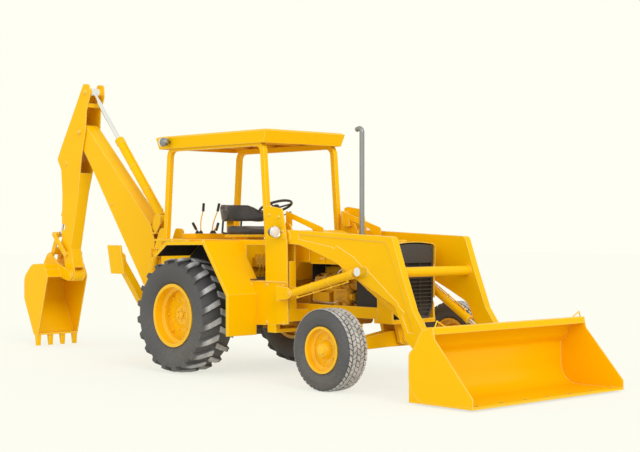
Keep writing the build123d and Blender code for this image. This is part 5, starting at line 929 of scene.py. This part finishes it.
def engine_dressing():
    """Injector pipes, hoses, belt, filter, starter, air cleaner, dynamo fins and cover bolts."""
    pipes = []
    for cylinder in range(4):
        x = 1310 + 127.5 * (cylinder + 0.5)
        pump_x = 1362 + cylinder * 22
        pipes.append([at(pump_x, -235, 925), at(pump_x, -240, 990), at(x - 20, -225, 1030),
            at(x, -150, 1058), at(x, -95, 1056)])
    bent_tube("injector_pipes", pipes, 0.0045, "bolt_zinc", "cast_iron")
    hoses = [[at(1850, -60, 1040), at(1895, -60, 1150), at(1985, -110, 1268), at(2200, -110, 1268),
        at(2325, -110, 1238)], [at(1850, 60, 700), at(1905, 120, 690), at(1955, 120, 745)]]
    bent_tube("coolant_hoses", hoses, 0.024, "black_plastic", "black_plastic", sides=16)
    lines = [[at(1350, -258, 800), at(1330, -268, 785), at(1500, -270, 768), at(1680, -268, 768),
        at(1745, -255, 800)],
        [at(1620, -205, 1000), at(1680, -240, 1080), at(1760, -200, 1120), at(1820, -120, 1100)]]
    bent_tube("engine_lines", lines, 0.007, "bolt_zinc", "cast_iron")
    bm = bmesh.new()
    can = [(0, 0), (0.002, 0.03), (0.004, 0.046), (0.012, 0.048), (0.018, 0.0472), (0.13, 0.0472),
        (0.134, 0.049), (0.14, 0.049), (0.141, 0)]
    turned(bm, at(1670, -221, 706), UP, can, 28)
    starter = [(0, 0), (0, 0.036), (0.03, 0.04), (0.034, 0.048), (0.15, 0.048), (0.156, 0.042),
        (0.23, 0.042), (0.234, 0)]
    turned(bm, at(1265, -212, 700), FORWARD, starter, 28)
    cleaner = [(0, 0), (0, 0.056), (0.01, 0.068), (0.02, 0.07), (0.28, 0.07), (0.29, 0.066),
        (0.298, 0.07), (0.33, 0.066), (0.338, 0)]
    turned(bm, at(1400, -60, 1202), FORWARD, cleaner, 36)
    rod(bm, at(1868, DYNAMO_Y, DYNAMO_Z), at(1914, DYNAMO_Y, DYNAMO_Z), 0.038, 24)
    add_piece("engine_canisters", bm, "shaded_grimy_engine_yellow", "engine_paint")
    bm = bmesh.new()
    fin = [(0, 0.06), (0, 0.0685), (0.006, 0.0685), (0.006, 0.06), (0, 0.06)]
    for step in range(9):
        turned(bm, at(1736 + step * 14, DYNAMO_Y, DYNAMO_Z), FORWARD, fin, 28)
    for x in range(1340, 1820, 90):
        for y in (-78, 78):
            hex_bolt(bm, at(x, y, 1112), UP, 0.016)
    for x in range(1280, 1870, 110):
        for z in (730, 940):
            hex_bolt(bm, at(x, -165, z), -LEFT, 0.018)
    add_piece("engine_bolts", bm, "shaded_grimy_engine_yellow", "engine_paint", smooth=False)
    bm = bmesh.new()
    for start, end in (((74, 760), (46, 935)), ((-18, 972), (-262, 868)), ((-262, 804), (-30, 681))):
        rod(bm, at(BELT_X, *start), at(BELT_X, *end), 0.007, 8)
    plastic("fan_belt", bm)


def hood_dressing():
    """Hood seams, latches, caps, and the grille's mesh and screws."""
    bm = bmesh.new()
    for x in (1500, 2380):
        for sign in (1, -1):
            block(bm, at(x - 35, sign * 289, 1190), at(x + 35, sign * 296, 1213))
            hex_bolt(bm, at(x, sign * 295, 1202), LEFT * sign, 0.016)
    cap = [(0, 0), (0, 0.045), (0.014, 0.047), (0.02, 0.04), (0.022, 0)]
    turned(bm, at(2330, 0, 1374), UP, cap, 32)
    turned(bm, at(1480, 120, 1370), UP, cap, 32)
    add_piece("hood_latches", bm, "body_yellow", "yellow_paint", bevel=0.002)
    section = mirrored(HOOD_OUTSIDE)
    seams = bmesh.new()
    for x in (1560, 2410):
        for start, end in zip(section, section[1:]):
            rod(seams, at(x, *start), at(x, *end), 0.0016, 6)
    add_piece("hood_seams", seams, "shade_and_seam_black", "black_paint", smooth=False)
    bm = bmesh.new()
    for y in (-250, 250):
        for z in (1300, 1190, 800):
            hex_bolt(bm, at(2486, y, z), FORWARD, 0.014)
    add_piece("grille_screws", bm, "grille_charcoal", "grille_paint", smooth=False)
    bm = bmesh.new()
    for column in range(MESH_COLUMNS):
        y = -MESH_HALF + column * 2 * MESH_HALF / (MESH_COLUMNS - 1)
        rod(bm, at(MESH_X, y, 770), at(MESH_X, y, 1172), 0.0016, 5)
    for row in range(MESH_ROWS):
        z = 775 + row * 13.4
        rod(bm, at(MESH_X, -MESH_HALF, z), at(MESH_X, MESH_HALF, z), 0.0016, 5)
    add_piece("grille_mesh", bm, "core_black", "grille_paint", smooth=False)


# Fasteners and pipes

BUCKET_BOLTS, BOLT_SPAN = 7, 2134 - 240
# Body, base pin and rod's pin as (x, z), places across, barrel diameter and length, side the pipe lies on
BARRELS = (("lift_barrels", (1410, 868), (2360, 1100), (597, -597), 84, 880, -1),
    ("dump_barrels", (2030, 1120), (3170, 420), (410, -410), 78, 930, 1),
    ("boom_barrel", (-1360, 1050), (-2430, 1800), (0,), 110, 1040, 1),
    ("crowd_barrel", (-1530, 1620), (-2970, 3200), (0,), 105, 1290, -1),
    ("hoe_barrel", (-3430, 2330), (-3700, 1430), (0,), 80, 690, 1))


def fasteners():
    """Bolts and pin caps on the bodies they belong to."""
    spots = ((1255, 560), (1255, 940), (760, 560), (760, 940), (1000, 940), (1000, 560),
        (1040, 1640), (1180, 1620), (1240, 1480))
    chassis, arms, boom, dipper, post = [], [], [], [], []
    for x, y, z in ((-2970, 126, 3200), (-3110, 128, 2710)):
        dipper += [(x, sign * y, z, (0, sign, 0)) for sign in (1, -1)]
    for sign in (1, -1):
        face = (0, sign, 0)
        chassis += [(x, sign * 575, z, face) for x, z in spots]
        chassis += [(x, sign * 900, 1372, (0, 0, 1)) for x in (-150, 100, 380)]
        arms.append((2360, sign * 549, 1100, face))
        boom += [(x, sign * 92, z, face) for x, z in ((-2430, 1800), (-3065, 2740))]
        post.append((-1600, sign * 138, 820, face))
    bolts("chassis_bolts", "chassis", chassis, 0.024, "body_yellow")
    bolts("loader_arm_bolts", "loader_arms", arms, 0.03, "bright_chrome")
    bm = bmesh.new()
    head = [(0, 0), (0, 0.0089), (0.0155, 0.0089), (0.0195, 0.015), (0.02, 0)]
    for step in range(BUCKET_BOLTS):
        y = (step - BUCKET_BOLTS // 2) * BOLT_SPAN / (BUCKET_BOLTS - 1)
        turned(bm, at(4076, y, 20), UP, head, 20)
    for sign in (1, -1):
        rod(bm, at(3300, sign * 575, 240), at(3300, sign * 590, 240), 0.026, 24)
        hex_bolt(bm, at(3300, sign * 590, 240), Vector((0, sign, 0)), 0.022)
    add_piece("bucket_bolts", bm, "worn_steel", "yellow_paint", body="loader_bucket")
    bolts("boom_bolts", "boom", boom, 0.022, "tool_yellow")
    bolts("dipper_bolts", "dipper", dipper, 0.034, "tool_yellow")
    bolts("swing_post_bolts", "swing_post", post, 0.04, "tool_yellow")


def barrel_pipes():
    """Steel pipe, port blocks and clamps along each hydraulic barrel."""
    for body, base, eye, across, diameter, length, side in BARRELS:
        runs, fittings = [], bmesh.new()
        reach, far = diameter / 2000, length / 1000
        band = ((-0.008, reach - 0.001), (-0.008, reach + 0.0025), (0.008, reach + 0.0025),
            (0.008, reach - 0.001))
        for y in across:
            start, end = at(base[0], y, base[1]), at(eye[0], y, eye[1])
            along = (end - start).normalized()
            off = along.cross(LEFT).normalized() * side
            low, high = start + along * reach * 1.6, start + along * (far - 0.09)
            over = off * (reach + 0.016)
            runs.append([high + off * reach, high + over, high + over - along * 0.03,
                low + over + along * 0.1, low + over])
            for place in (high, low):
                rod(fittings, place + off * (reach - 0.004), place + off * (reach + 0.022), 0.013, 12)
            for share in (0.33, 0.68):
                place = low.lerp(high, share)
                turned(fittings, place, along, band, 28)
                rod(fittings, place + off * reach, place + off * (reach + 0.026), 0.009, 8)
        bent_tube(body + "_pipe", runs, 0.0065, "tool_yellow", "yellow_paint", 12, body)
        add_piece(body + "_fittings", fittings, "tool_yellow", "yellow_paint", body=body, crisp=30)


camera_and_light()
studio()
dress_solids()
for side, sign in SIDES:
    front_tyre(side, sign)
wheel_hardware()
seat()
steering_wheel()
console()
dashboard()
lamps()
arch_shade_sheets()
bay_shade_sheets()
valve_bank()
engine_dressing()
hood_dressing()
fasteners()
barrel_pipes()
